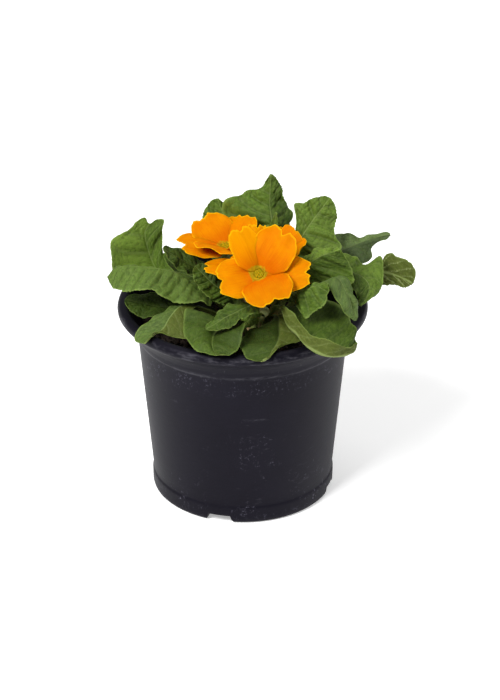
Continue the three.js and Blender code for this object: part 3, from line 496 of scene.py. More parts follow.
def crumbShells(random):
    # Small balls strewn over the top, more of them outwards, none at the crown: rings of points that are
    # roughened, stretched and turned about Z, with a fan over each end.
    form = soil["crumbs"]
    rows, turns = form["rows"], form["turns"]
    turn = random.uniform(0, 2 * np.pi, form["count"])
    reach = np.sqrt(random.uniform(0.05, 1, form["count"])) * form["reach"]
    px, py = reach * np.cos(turn), reach * np.sin(turn)
    keep = np.hypot(px - soil["crown"][0], py - soil["crown"][1]) > form["clear"]
    px, py = px[keep], py[keep]
    size = random.gamma(3.0, 0.32, len(px)) + 0.3
    pz = soil["level"] + np.clip(inwards(np.hypot(px, py)), 0, 1) + lumps(px, py) + size * 0.15
    down = np.linspace(0.25, np.pi - 0.25, rows)
    around = circle(turns)
    lat, lon = np.meshgrid(down, around, indexing="ij")
    ball = np.stack([np.sin(lat) * np.cos(lon), np.sin(lat) * np.sin(lon), np.cos(lat)], axis=-1)
    rough = 1 + random.uniform(-0.28, 0.28, (len(px), rows, turns, 1))
    stretch = random.uniform(0.55, 1.35, (len(px), 1, 1, 3)) * size[:, None, None, None]
    crumbs = ball[None] * rough * stretch
    spin = random.uniform(0, 2 * np.pi, len(px))[:, None, None]
    x = crumbs[..., 0] * np.cos(spin) - crumbs[..., 1] * np.sin(spin)
    y = crumbs[..., 0] * np.sin(spin) + crumbs[..., 1] * np.cos(spin)
    places = np.stack([px, py, pz], axis=-1)[:, None, None, :]
    turned = np.stack([x, y, crumbs[..., 2]], axis=-1) + places
    flat = gridNumbers(rows, turns)
    closed = wrapped(flat)
    pole = np.full(turns, rows * turns)
    first = np.stack([closed[0, :-1], closed[0, 1:], pole], axis=1)
    last = np.stack([closed[-1, 1:], closed[-1, :-1], pole + 1], axis=1)
    ends = np.stack([turned[:, 0].mean(axis=1), turned[:, -1].mean(axis=1)], axis=1)
    points = np.concatenate([turned.reshape(len(px), rows * turns, 3), ends], axis=1)
    shift = (np.arange(len(px)) * points.shape[1])[:, None, None]
    quads = (quadsOf(closed)[None] + shift).reshape(-1, 4)[:, ::-1]
    fans = (np.concatenate([first, last])[None] + shift).reshape(-1, 3)[:, ::-1]
    return points.reshape(-1, 3) * mm, [quads, fans]


peat = soilFinish()
points, faces = ringSolid(bedRings())
makePiece("compostBed", points, faces, peat, ["soil"])
points, faces = crumbShells(np.random.default_rng(soil["crumbs"]["seed"]))
makePiece("compostCrumbs", points, faces, peat, [])
print("compost made, with", len(faces[1]) // 2 // soil["crumbs"]["turns"], "crumbs")


# crown
crown = {
    "place": (6.0, -2.0), "turns": 96, "rows": 40, "span": (75, 95.4), "grooves": 8,
    # height and radius, then height and how deep the grooves are
    "radius": [(75, 7.4), (79, 7.8), (84.5, 7.8), (88, 7.7), (92, 7.6), (94.2, 6.8), (95.4, 5.0)],
    "depth": [(84, 0), (88, 0.5), (94, 0.5), (95.4, 0.3)],
    "leafStart": 8.75, "tiers": [85.6, 88.2, 90.8, 93.0],  # how far out and how high the leaves begin
}


def crownFinish():
    # Streaks that run upwards, reddish below and pale green above.
    material, pen, shader = newFinish("crownBase", {"Subsurface Weight": 0.1, "Subsurface Scale": 0.001})
    local = pen.local()
    z = local.parts()[2]
    long = pen.add("Mapping", None, {"Vector": local, "Scale": (1.0, 1.0, 0.15)})
    streak = pen.noise(long, 900.0, 4.0)
    low = pen.blend(streak, tone(120, 84, 70), tone(158, 112, 92))
    high = pen.blend(streak, tone(118, 132, 70), tone(160, 168, 104))
    colour = pen.blend(z.step(0.084, 0.093), low, high)
    bump = pen.bump(0.5, 0.0004, streak)
    feed(pen, shader, colour=colour, rough=0.55 + streak * 0.2, normal=bump)
    return material


def crownRings():
    # A stout column whose radius and groove depth follow the height. The grooves turn a little upwards.
    heights = np.linspace(*crown["span"], crown["rows"])
    radii = np.interp(heights, *zip(*crown["radius"]))
    depth = np.interp(heights, *zip(*crown["depth"]))
    angle = circle(crown["turns"])
    wave = np.cos(crown["grooves"] * angle + 0.1 * heights[:, None])
    out = radii[:, None] - depth[:, None] * (0.5 - 0.5 * wave)
    x = crown["place"][0] + out * np.cos(angle)
    y = crown["place"][1] + out * np.sin(angle)
    return np.stack([x, y, np.repeat(heights[:, None], len(angle), 1)], axis=-1) * mm


points, faces = ringSolid(crownRings())
makePiece("crownBase", points, faces, crownFinish(), ["crown"])
print("crown made")


# dull: how far it has the lower face's colour
# leaves
# base: azimuth and tier on the crown; seat: how much nearer to it than the others
# spine: points of the midrib in millimetres; hint: the way the upper face looks
# stalk: share of the length that is petiole; wide: share of the blade where it is widest
# half: widest half width left and right of the midrib, looking along it from above
# fold, late: angle of each half to the flat at mid blade and at the tip, up is plus
# blunt, sharp: form of the tip
# left, right: points of the two margins, given in place of the half widths and folds
# bow: swell of each half; shear: how far the rows lag at the margin
# wave: height and count of the waves in the margin; teeth, tooth: count and size of the coarse teeth
# fine: size of the small teeth; ridge: height of the furrows that run out to the coarse ones
# creases: side veins; groove: their depth; slope: how far they sweep on
# puff: swelling of the net between them; rib: height of the midrib below
# youngAndLit, deep, greyAndSheen: how fresh a half is with painted light, how dark with painted shade, how
# grey (partly a painted sheen)
# veined: how pale the veins of the lower face are
leafKind = {
    "seat": 0, "fold": (15, 15), "late": (10, 10), "stalk": 0.28, "wide": 0.62, "blunt": (2.4, 2.4),
    "sharp": 0.5, "hint": (0, 0, 1), "left": None, "right": None, "bow": (0, 0), "wave": (1.2, 3),
    "teeth": 6, "tooth": 0.05, "ridge": 0.7, "shear": 0.1, "rib": 1.3, "slope": 0.04, "fine": 0.5,
    "puff": 0.5, "creases": 11, "groove": 0.45, "youngAndLit": (0, 0), "deep": (0, 0), "greyAndSheen": 0.0,
    "dull": (0, 0), "veined": 0, "rows": 126, "cols": 44,
}
leaves = {
    "leaf_f1": {
        "base": (-142, 0),
        "spine": [
            (-12, -12, 98), (-24, -20, 106.5), (-29.5, -23.5, 107.8), (-34, -31, 106), (-37.3, -38, 103.4),
            (-43.3, -43, 100.7), (-45.7, -45, 99),
        ],
        "left": [
            (-24.5, -28, 106), (-24.5, -36, 102), (-26.5, -41, 99), (-34, -40, 100.5), (-39.5, -40, 102),
        ],
        "right": [
            (-31.5, -20, 106.5), (-36, -24, 106), (-40.5, -29, 105), (-46.5, -34, 103), (-50.8, -38, 99.8),
            (-49.5, -42, 98),
        ],
        "seat": 0.2, "stalk": 0.42, "wave": (0.3, 3), "teeth": 3, "tooth": 0.02, "shear": 0.02,
        "slope": 0.1, "greyAndSheen": 0.3, "dull": (1, 0), "fine": 0.2, "puff": 0.2, "groove": 0.15,
    },
    "leaf_f2": {
        "base": (-112, 0),
        "spine": [(-2, -20, 97), (-8, -31, 102), (-13, -42, 103), (-14, -53, 102.8), (-12, -63, 102.4)],
        "left": [
            (0, -36, 106), (2, -43, 109), (0.7, -49, 109.5), (-0.7, -55, 106), (-2.3, -59, 103),
            (-6, -62, 102.4),
        ],
        "right": [
            (-17, -28, 105), (-26, -29, 109), (-27.7, -35, 107), (-27.5, -43, 104.8), (-25.5, -51, 103.2),
            (-21, -58, 102.6), (-15.5, -62, 102.3),
        ],
        "seat": 0.2, "stalk": 0.35, "wave": (0.4, 3), "tooth": 0.02, "bow": (0, 1.5),
        "deep": (0.85, 0.5), "fine": 0.2, "puff": 0.2, "groove": 0.25,
    },
    "leaf_f3": {
        "base": (-122, 3),
        "spine": [(4, -20, 106), (2, -34, 112.8), (-7, -42, 112), (-17, -47, 107.5)],
        "half": (7, 5), "fold": (-10, 10), "late": (-10, 10), "stalk": 0.3, "wide": 0.45, "blunt": (3, 3),
        "teeth": 5, "tooth": 0.09, "deep": (0.5, 0.3), "fine": 0.9, "puff": 0.3, "groove": 0.5,
    },
    "leaf_f4": {
        "base": (-96, 1), "spine": [(6.5, -18, 101), (4, -25, 103), (0.5, -31, 100)],
        "half": (4.5, 4.5), "fold": (-10, -10), "late": (-10, -10), "stalk": 0.2, "wide": 0.55, "teeth": 4,
        "tooth": 0.09, "youngAndLit": (0.8, 0.8), "fine": 0.8, "creases": 7, "groove": 0.4,
    },
    "leaf_f5": {
        "base": (-78, 0),
        "spine": [
            (12, -16, 98), (16.5, -26, 103.5), (17, -33, 103.4), (17, -42, 101.8), (15.5, -52, 102.2),
            (11, -62, 100.2), (8.6, -64, 99.7),
        ],
        "left": [
            (22, -25, 104.5), (26.5, -34, 102.7), (28, -43, 100.5), (23, -47, 100), (18, -52, 101),
            (13.7, -58.5, 101),
        ],
        "right": [
            (11.5, -33.5, 103), (4, -37.5, 102.7), (-1, -48, 101.6), (0.7, -59, 100.8), (4.4, -63, 99.7),
        ],
        "stalk": 0.34, "wave": (0.3, 3), "teeth": 5, "tooth": 0.02, "shear": 0, "slope": 0.1,
        "dull": (1, 0), "deep": (0.5, 0.95), "fine": 0.2, "puff": 0.15, "groove": 0.15,
    },
    "leaf_f6": {
        "base": (-49, 2),
        "spine": [
            (15.5, -17, 104), (18.3, -30, 110), (22, -42, 106.3), (25.7, -48, 105.3), (31.3, -55, 102.2),
            (38.2, -59, 100.6), (47.5, -54, 97.8), (52, -46, 96.4), (53.5, -41, 97.3),
        ],
        "left": [
            (27, -20, 106.5), (39, -14, 107), (47, -19, 104), (51.6, -27, 101.3), (53.8, -33, 99),
            (52.3, -37.5, 98.5),
        ],
        "right": [
            (19, -33, 113), (24, -41, 112), (27.5, -46, 109.5), (32.2, -53, 107.4), (40.5, -57, 106.7),
            (47.5, -54, 101.7),
        ],
        "seat": 0.45, "stalk": 0.25, "wave": (0.4, 3), "tooth": 0.02, "shear": 0.03, "rib": 0.7,
        "slope": 0.1, "deep": (0.3, 0), "fine": 0.3, "puff": 0.25, "groove": 0.2,
    },
    "leaf_r1": {
        "base": (30, 2),
        "spine": [(25, 8, 118), (28, 11, 126.5), (33.3, 15, 133.5), (39.5, 19, 140.5), (42, 21, 143)],
        "left": [
            (25, 12, 123.5), (25.7, 15, 132), (25, 19.5, 140), (29, 20, 141), (33.5, 20.5, 143),
            (38.5, 21, 144),
        ],
        "right": [
            (42, 3, 118), (47.5, 6, 123), (44.5, 10, 127.5), (44, 13, 129.5), (45.3, 17, 135),
            (44.4, 20, 139.5),
        ],
        "seat": 0.1, "stalk": 0.45, "hint": (-0.2, -1, 0.5), "wave": (0.6, 3), "teeth": 7, "tooth": 0.03,
        "youngAndLit": (0.6, 0.6), "puff": 0.6, "groove": 0.8,
    },
    "leaf_r2": {
        "base": (-3, 3),
        "spine": [(22, -8, 116), (31.8, -10, 123.7), (37.5, -12, 128.5), (46, -12, 131.5)],
        "left": [(27, -3, 121), (31, -4, 125.3), (36, -5, 128.5), (42.7, -8, 131)],
        "right": [
            (27, -11, 111), (33, -12, 111.5), (43, -14, 112.5), (51, -14, 114.5), (53, -12, 117),
            (50, -12, 124.5),
        ],
        "seat": 0.45, "stalk": 0.35, "wave": (0.6, 4), "tooth": 0.03, "youngAndLit": (1, 0.1), "fine": 0.8,
        "puff": 0.4, "creases": 12, "groove": 0.6,
    },
    "leaf_r3": {
        "base": (-29, 1),
        "spine": [
            (27, -14, 106), (37, -18, 117), (44.6, -20, 120.7), (49.3, -27, 116), (52, -31, 109.2),
            (53, -33, 104.6),
        ],
        "left": [(48.3, -16, 117.3), (51.2, -19, 114.6), (53.5, -24, 110.8), (54.5, -29, 107.3)],
        "right": [(39.5, -23, 119.5), (41.3, -29, 117.8), (44.6, -33, 114), (49.3, -34.5, 108)],
        "seat": 0.4, "stalk": 0.45, "wave": (0.4, 3), "tooth": 0.02, "shear": 0.05, "bow": (1, 1),
        "greyAndSheen": 0.45, "fine": 0.1, "puff": 0.12, "groove": 0.08,
    },
    "leaf_r4": {
        "base": (-38, 3),
        "spine": [
            (17, -15, 106), (21, -20, 112), (25.7, -25, 116.3), (32.8, -29, 120.8), (39.4, -31, 123.5),
        ],
        "left": [(25, -21, 114.5), (31, -25, 119), (36, -28, 122)],
        "right": [
            (24, -29, 112), (27.6, -36, 109.5), (31.3, -38, 109.3), (37.5, -38, 115.7), (40, -35, 121),
        ],
        "seat": 0.7, "stalk": 0.3, "wave": (0.4, 3), "shear": 0.02, "rib": 0.6, "fine": 1, "puff": 0.5,
        "creases": 10, "groove": 1,
    },
    "leaf_r5": {
        "base": (-6, 1),
        "spine": [
            (30, -2, 106), (46.6, -2, 115), (55, -2, 113.8), (60, -8, 111.5), (59, -14, 107.6),
            (55.7, -17, 104.3),
        ],
        "left": [
            (42, 4, 119), (46.6, 4, 121.5), (50, 6, 120), (52.4, 8, 117.2), (55, 9, 117.1), (57, 9, 115),
            (60, 8, 115), (65.8, 6, 119), (67.2, 0, 115), (66.7, -6, 110.5), (64, -11, 107),
            (59.5, -15, 106),
        ],
        "right": [(46.6, -6, 111), (52.4, -10, 109.3), (54.8, -14, 106)],
        "seat": 0.6, "stalk": 0.45, "wave": (0.6, 5), "teeth": 7, "tooth": 0.03, "youngAndLit": (0.4, 0),
        "deep": (0, 0.3), "fine": 0.25, "puff": 0.3, "groove": 0.2,
    },
    "leaf_r6": {
        "base": (2, 0),
        "spine": [(40, 8, 100), (58, 10, 106), (67, 9, 109.5), (77, 9, 106), (82, 8, 103.5)],
        "left": [(67, 8, 103), (73, 7, 103.3), (78, 6, 102.3)],
        "right": [
            (67.2, 11, 113.4), (68.2, 12, 116.6), (71.5, 13, 118), (74.5, 12, 116.1), (78, 11, 115.6),
            (81, 10, 113.9), (83, 9, 110), (83, 8, 106.3),
        ],
        "stalk": 0.7, "hint": (0, 1, 0.2), "wave": (0.3, 3), "teeth": 3, "tooth": 0.04, "shear": 0.02,
        "slope": 0.13, "youngAndLit": (0.3, 0.3), "veined": 0.4, "creases": 16,
    },
    "leaf_r7": {
        "base": (22, 1),
        "spine": [
            (30, 10, 110), (43.6, 12, 118), (51.6, 18, 118.5), (58.2, 22, 119.6), (65, 24, 120.8),
            (71.5, 25, 121.8),
        ],
        "left": [
            (43.6, 26, 120.3), (50.7, 29, 120), (57.3, 28, 119.4), (61.5, 26.5, 120.8), (65.8, 26, 122),
            (69.6, 26, 122.6),
        ],
        "right": [
            (48.3, 8, 114.3), (56.4, 12, 112), (62.2, 16.5, 112.7), (62.3, 21, 116), (66.3, 23, 119),
            (70, 24, 119.7),
        ],
        "seat": 0.35, "stalk": 0.4, "wave": (0.3, 3), "teeth": 7, "tooth": 0.02, "shear": 0.03,
        "youngAndLit": (0.25, 0), "greyAndSheen": 1, "deep": (0, 1), "fine": 0.1,
    },
    "leaf_l1": {
        "base": (160, 1),
        "spine": [
            (-23, 4, 104), (-38, 9, 106), (-43, 12, 112), (-46, 14, 121), (-47, 16, 127), (-45, 18, 131),
        ],
        "left": [
            (-50, 3, 106), (-60, 3, 110), (-63, 2, 118), (-63, 4, 125), (-61, 8, 128), (-54, 14, 130),
            (-51, 17, 132.5), (-47, 18, 134),
        ],
        "right": [
            (-33, 8, 110), (-38, 11, 116), (-38.5, 13, 123), (-38.5, 14, 129), (-38, 14, 134.5),
            (-41, 16, 134),
        ],
        "stalk": 0.42, "hint": (0.3, -1, 0.4), "wave": (0.5, 3), "tooth": 0.02, "shear": 0.02,
        "youngAndLit": (0.9, 0.25), "fine": 0.3, "puff": 0.3,
    },
    "leaf_l2": {
        "base": (-165, 2),
        "spine": [
            (-12, -6, 108), (-24, -9, 113), (-29.5, -8, 117), (-37, -9, 120), (-44, -10, 121.5),
            (-55, -10, 122.5), (-61, -11, 121), (-64, -13, 117.5),
        ],
        "left": [
            (-15.5, -20, 105.6), (-19.5, -22, 109.2), (-25, -24, 109.5), (-32, -25, 110.5), (-38, -25, 113),
            (-42, -24, 116), (-51, -23, 115.5), (-58, -21, 114.5), (-62, -18, 115.5),
        ],
        "right": [(-24, -3, 110), (-37, -2, 114), (-50, -3, 117.5), (-60, -5, 118)],
        "seat": 0.5, "stalk": 0.2, "wave": (0.5, 3), "teeth": 9, "tooth": 0.03, "ridge": 0.35,
        "greyAndSheen": 0.2, "youngAndLit": (0.25, 0.25), "fine": 0.6, "puff": 0.4, "creases": 19, "groove": 0.6,
    },
    "leaf_l3": {
        "base": (-168, 0), "spine": [(-18, -9, 100), (-37, -13, 102), (-56, -9, 104)],
        "half": (10, 9), "fold": (-10, 10), "late": (-10, 10), "stalk": 0.3, "wide": 0.6, "deep": (1, 1),
    },
    "leaf_l4": {
        "base": (-146, 3), "spine": [(-6, -9.5, 106), (-14, -10, 112.5), (-22.5, -7, 120.4)],
        "half": (8, 7.5), "fold": (25, -10), "late": (25, -10), "stalk": 0.1, "wide": 0.5,
        "hint": (0, -1, 0.8), "deep": (0.2, 0.8), "fine": 0.9, "puff": 0.4, "creases": 12, "groove": 1,
    },
    "leaf_l5": {
        "base": (180, 1), "spine": [(-13, 3, 108), (-25, 6, 115), (-38, 5, 124)],
        "half": (9, 8), "fold": (-10, 10), "late": (-10, 10), "stalk": 0.3, "wide": 0.6, "deep": (0.7, 0.7),
    },
    "leaf_b1": {
        "base": (100, 2), "spine": [(2, 20, 112), (-6, 31, 121), (-12.5, 40, 134)],
        "left": [
            (-13, 29, 119), (-18.3, 33, 124), (-19.3, 36, 127.5), (-17.8, 38, 130.7), (-15.4, 39.5, 133),
        ],
        "right": [(2, 29, 119), (-4, 35, 125.5), (-8.5, 39, 131)],
        "seat": 0.7, "stalk": 0.4, "hint": (0, -1, 0.5), "wave": (0.6, 3), "teeth": 5, "tooth": 0.03,
        "shear": 0.05, "youngAndLit": (0.3, 0.3), "puff": 0.5, "groove": 0.9,
    },
    "leaf_b2": {
        "base": (70, 2),
        "spine": [(14, 18, 118), (14, 24, 129), (13.2, 30, 135), (13.2, 34, 141), (13.7, 37, 148.3)],
        "left": [
            (2, 26, 121), (-5, 28, 125), (-10, 30, 131), (-7, 32, 137), (-1.3, 34, 139), (2.5, 35.5, 140.6),
            (7.5, 36, 141), (11, 36.5, 144.5),
        ],
        "right": [
            (20, 24, 121), (24.5, 30, 128), (22, 33, 133), (19.5, 34, 137.3), (19, 35, 142),
            (16.6, 36, 146),
        ],
        "seat": 0.4, "stalk": 0.4, "hint": (0, -1, 0.5), "wave": (0.7, 4), "tooth": 0.04,
        "youngAndLit": (0.3, 0), "deep": (0, 0.4), "puff": 0.6, "groove": 1.1,
    },
    "leaf_b3": {
        "base": (52, 3), "spine": [(12, 14, 123), (15, 15, 131), (16, 15, 138)],
        "half": (6.5, 5.5), "late": (15, 15), "stalk": 0.2, "wide": 0.35, "blunt": (1.2, 1.2), "sharp": 0.9,
        "hint": (0, -1, 0.5), "teeth": 4, "youngAndLit": (1, 1), "fine": 0.8,
    },
    "leaf_k1": {
        "base": (45, 0), "spine": [(24, 17, 101), (38, 31, 105), (49, 46, 101)],
        "half": (12, 12),
    },
    "leaf_k2": {
        "base": (72, 0), "spine": [(14, 26, 104), (17, 44, 108), (18, 64, 100)],
        "half": (11, 11),
    },
    "leaf_k3": {
        "base": (112, 0), "spine": [(-6, 24, 103), (-14, 42, 107), (-21, 60, 101)],
        "seat": 0.1, "half": (11, 11),
    },
    "leaf_k4": {
        "base": (137, 0), "spine": [(-17, 12, 101), (-38, 24, 104), (-54, 32, 101)],
        "half": (11, 11),
    },
}
bladeForm = {  # what all blades share, in millimetres where it is a length
    "crowd": 1.25,  # how much the columns crowd towards the margins, in radians of a sine
    "halfStalk": 1.2, "halfTip": 0.6, "least": 0.6,  # half widths at the start, at the tip and at least
    "stalkFold": 25,  # how far the petiole's wings stand up, in degrees
    "toothPitch": 2.6, "cell": 2.7,  # of the small teeth and of the net
    "cellWall": 0.42, "vein": 0.36,  # slopes beside the net's lines and the side veins, as shares
    "ripple": (0.55, 8.3), "midGroove": (0.55, 0.8),  # height and count; depth and width
    "thick": 0.42, "thinner": 0.2, "web": 0.1, "petiole": 0.9,  # less at the margin, more below these
    "midRidge": 0.75, "sideRidge": (0.25, 0.09),  # width; height and share of the pitch
}
leafTones = {
    "deep": tone(46, 66, 10), "mid": tone(76, 101, 28), "light": tone(98, 120, 44),
    "greyAndSheen": tone(96, 112, 74), "freshAndLit": tone(112, 137, 50), "shade": tone(30, 42, 8),
    "net": tone(40, 58, 10), "vein": tone(122, 140, 74), "margin": tone(126, 146, 70),
    "midrib": tone(142, 158, 92), "stalk": tone(126, 140, 74), "foot": tone(140, 96, 76),
    "low": tone(62, 74, 18), "lowLight": tone(82, 92, 34), "lowNet": tone(104, 114, 56),
    "lowVein": tone(140, 152, 96),  # the lower face's
}


def pick(pair, left):  # the first value on the left half of a blade, the second on the right
    return np.where(left, pair[0], pair[1])


def sideOf(way, hint):  # across the blade, to the right of the way it runs, and up from its upper face
    up = unit(hint - dot(hint, way) * way)
    return np.cross(way, up), up


def marginReach(leaf, spine, place, way, side, s, left):
    # From the midrib to a margin given as points: it leaves the midrib where the petiole ends and runs to
    # the tip. Each half's own up is at right angles to this reach and to the midrib.
    hint = np.array(leaf["hint"], dtype=float)
    (foot, tip), (footWay, tipWay) = lineThrough(spine, np.array([leaf["stalk"], 1.0]))
    apart = unit(np.array(leaf["right"][-1], dtype=float) - np.array(leaf["left"][-1], dtype=float))
    apart = unit(apart + sideOf(tipWay, hint)[0])
    reaches, ups = [], []
    for key, sign in (("left", -1), ("right", 1)):
        first = foot + sign * bladeForm["halfStalk"] * sideOf(footWay, hint)[0]
        last = tip + sign * bladeForm["halfTip"] * apart
        line = np.array([first, *leaf[key], last], dtype=float)
        held = sign * bladeForm["halfStalk"] * side
        reach = held + (lineThrough(line, s)[0] - place - held) * ease(s / 0.2)[..., None]
        reaches.append(reach)
        ups.append(unit(np.cross(sign * reach, way)))
    return np.where(left[..., None], *reaches), np.where(left[..., None], *ups), unit(ups[0] + ups[1])


def leafSurface(leaf, random):
    # The upper face on a grid. The half width grows by a smooth step from the petiole and shuts as a power
    # curve at the tip, and each half leaves the midrib at its fold angle; or the halves reach to margins
    # given as points and swell by their bow. Side veins crease the blade in a slanted wave, cells of the net
    # swell between them, and the margin carries coarse and fine teeth and a slow and a quicker wave.
    form = bladeForm
    row = np.linspace(0, 1, leaf["rows"] + 1)[:, None] + np.zeros(leaf["cols"] + 1)
    column = np.linspace(-1, 1, leaf["cols"] + 1)
    v = np.sin(column * form["crowd"])[None, :] / math.sin(form["crowd"]) + np.zeros_like(row)
    x = np.abs(v)
    left = v < 0
    slant = leaf["shear"] * x * 4 * row * (1 - row) * ease((row - leaf["stalk"]) / 0.35)
    u = np.clip(row + slant, 0, 1)
    turn = math.radians(leaf["base"][0])
    near = crown["leafStart"] - leaf["seat"]
    middle, tier = crown["place"], crown["tiers"][leaf["base"][1]]
    start = [middle[0] + near * math.cos(turn), middle[1] + near * math.sin(turn), tier]
    spine = np.array([start, *leaf["spine"]], dtype=float)
    place, way = lineThrough(spine, u)
    side, up = sideOf(way, np.array(leaf["hint"], dtype=float))
    s = np.clip((u - leaf["stalk"]) / (1 - leaf["stalk"]), 0, 1)
    beat = 2 * np.pi * leaf["teeth"] * row
    if leaf["left"]:
        grow, shut = ease(s / 0.3), ease((1 - s) / 0.12)
        reach, upHalf, upMiddle = marginReach(leaf, spine, place, way, side, s, left)
        up = unit(upMiddle + (upHalf - upMiddle) * ease(x / 0.25)[..., None])
        half = np.linalg.norm(reach, axis=-1)
        out = x[..., None] * reach
        lift = pick(leaf["bow"], left) * 4 * x * (1 - x) * grow * shut
    else:
        grow = ease(s / leaf["wide"])
        closed = np.clip((s - leaf["wide"]) / (1 - leaf["wide"]), 0, 1)
        shut = (1 - closed ** pick(leaf["blunt"], left)) ** leaf["sharp"]
        half = np.maximum(form["least"], (1.6 + (pick(leaf["half"], left) - 1.6) * grow) * shut)
        blade = ease((u - 0.15) / 0.35)
        fold, late = pick(leaf["fold"], left), pick(leaf["late"], left)
        turned = fold + (late - fold) * ease((u - 0.5) / 0.5)
        angle = np.radians(form["stalkFold"] * (1 - blade) + blade * turned)
        out = (v * half * np.cos(angle))[..., None] * side
        lift = x * half * np.sin(angle)
    length = np.linalg.norm(np.diff(spine, axis=0), axis=1).sum()
    alongMm = row * length
    uneven = alongMm + 1.1 * np.sin(0.9 * alongMm + 2 * v) + 0.7 * np.sin(2.3 * alongMm)
    notch = np.abs(np.sin(np.pi * uneven / form["toothPitch"])) - 0.6
    tooth = 1 + leaf["tooth"] * x**4 * np.cos(beat) * grow
    tooth = tooth + leaf["fine"] * notch * x**8 * grow * shut / np.maximum(half, 1)
    high, count = leaf["wave"]
    slow = np.sin(2 * np.pi * count * u + np.where(left, 1.3, 0))
    low, quickCount = form["ripple"]
    quick = np.sin(2 * np.pi * quickCount * u + np.where(left, 0, 2.1))
    lift = lift + high * x**2.5 * slow * grow * shut
    lift = lift + low * x**4 * quick * grow * shut
    full = grow * shut
    lift = lift + leaf["ridge"] * np.sin(beat + 1.2) * full * np.sin(np.pi * x) ** 0.7
    wander = 0.12 * np.sin(3 * v + 5 * row) + 0.22 * np.sin(8.7 * row + 2.2 * v + leaf["base"][0])
    phase = leaf["creases"] * (row - leaf["slope"] * x) + np.where(left, 0.0, 0.45) + wander
    crease = np.abs(np.mod(phase, 1) - 0.5)
    net = cellNet(alongMm, v * half * 1.1, form["cell"], random)
    dome = ease(net / form["cellWall"])
    inner = full * ease((x * half - 0.4) / 1.6)
    fade = inner * ease((1 - x) / 0.12)
    lift = lift + leaf["puff"] * fade * (dome - 0.5)
    lift = lift + leaf["groove"] * inner * (ease(crease / form["vein"]) - 0.6) * (1 - 0.4 * x**6)
    depth, reachOut = form["midGroove"]
    lift = lift - depth * full * np.exp(-((x * half / reachOut) ** 2))
    surface = place + out * tooth[..., None] + lift[..., None] * up
    look = {
        "u": u, "x": x, "alongMm": alongMm, "acrossMm": v * half,
        "crease": crease, "net": dome, "full": full,
        **{key: pick(leaf[key], left) + 0 * x for key in ("dull", "youngAndLit", "deep")},
    }
    return surface, look


def leafThickness(leaf, look):
    # A thin blade, thinner still at its margin, with ridges below the midrib and the side veins, a web below
    # the lines of the net, and a stout petiole.
    form = bladeForm
    ridge = leaf["rib"] * 0.9 * np.exp(-((look["acrossMm"] / form["midRidge"]) ** 2))
    ridge = ridge * (1 - look["u"]) ** 1.2
    high, wide = form["sideRidge"]
    veins = min(high, 0.3 * leaf["groove"]) * np.exp(-((look["crease"] / wide) ** 2))
    veins = veins * look["full"] * (1 - look["x"])
    web = form["web"] * (1 - look["net"]) * look["full"] * (1 - look["x"] ** 4)
    thick = form["thick"] - form["thinner"] * ease((look["x"] - 0.8) / 0.2) + ridge + veins + web
    petiole = 1 - ease((look["u"] - leaf["stalk"] * 0.6) / (leaf["stalk"] * 0.8))
    return thick + form["petiole"] * petiole * (1 - look["x"] ** 2)


def leafMarks(leaf, look, number):
    # weave: distance to the nearest side vein as a share of their pitch, share of the length, share of the
    # width; spot: place on the flat blade in centimetres and a seed; net: 0 on its lines
    # look: how young and lit by painted light (below 0 how dark in painted shade; on the lower face how pale
    # its veins are), how grey (partly a painted sheen), and how much of the lower face's colour
    flat = {key: value.ravel() for key, value in look.items()}
    seed = np.full(flat["u"].shape, number * 3.7)
    greyAndSheen = np.full_like(seed, leaf["greyAndSheen"])
    weave = np.stack([flat["crease"], flat["u"], flat["x"]], axis=1)
    spot = np.stack([flat["alongMm"] / 10, flat["acrossMm"] / 10, seed], axis=1)
    top = np.stack([flat["youngAndLit"] - flat["deep"], greyAndSheen, flat["dull"]], axis=1)
    low = np.stack([np.full_like(seed, leaf["veined"]), greyAndSheen, np.ones_like(seed)], axis=1)
    return {
        "weave": np.concatenate([weave, weave]), "spot": np.concatenate([spot, spot]),
        "look": np.concatenate([top, low]), "net": np.concatenate([flat["net"], flat["net"]]),
    }


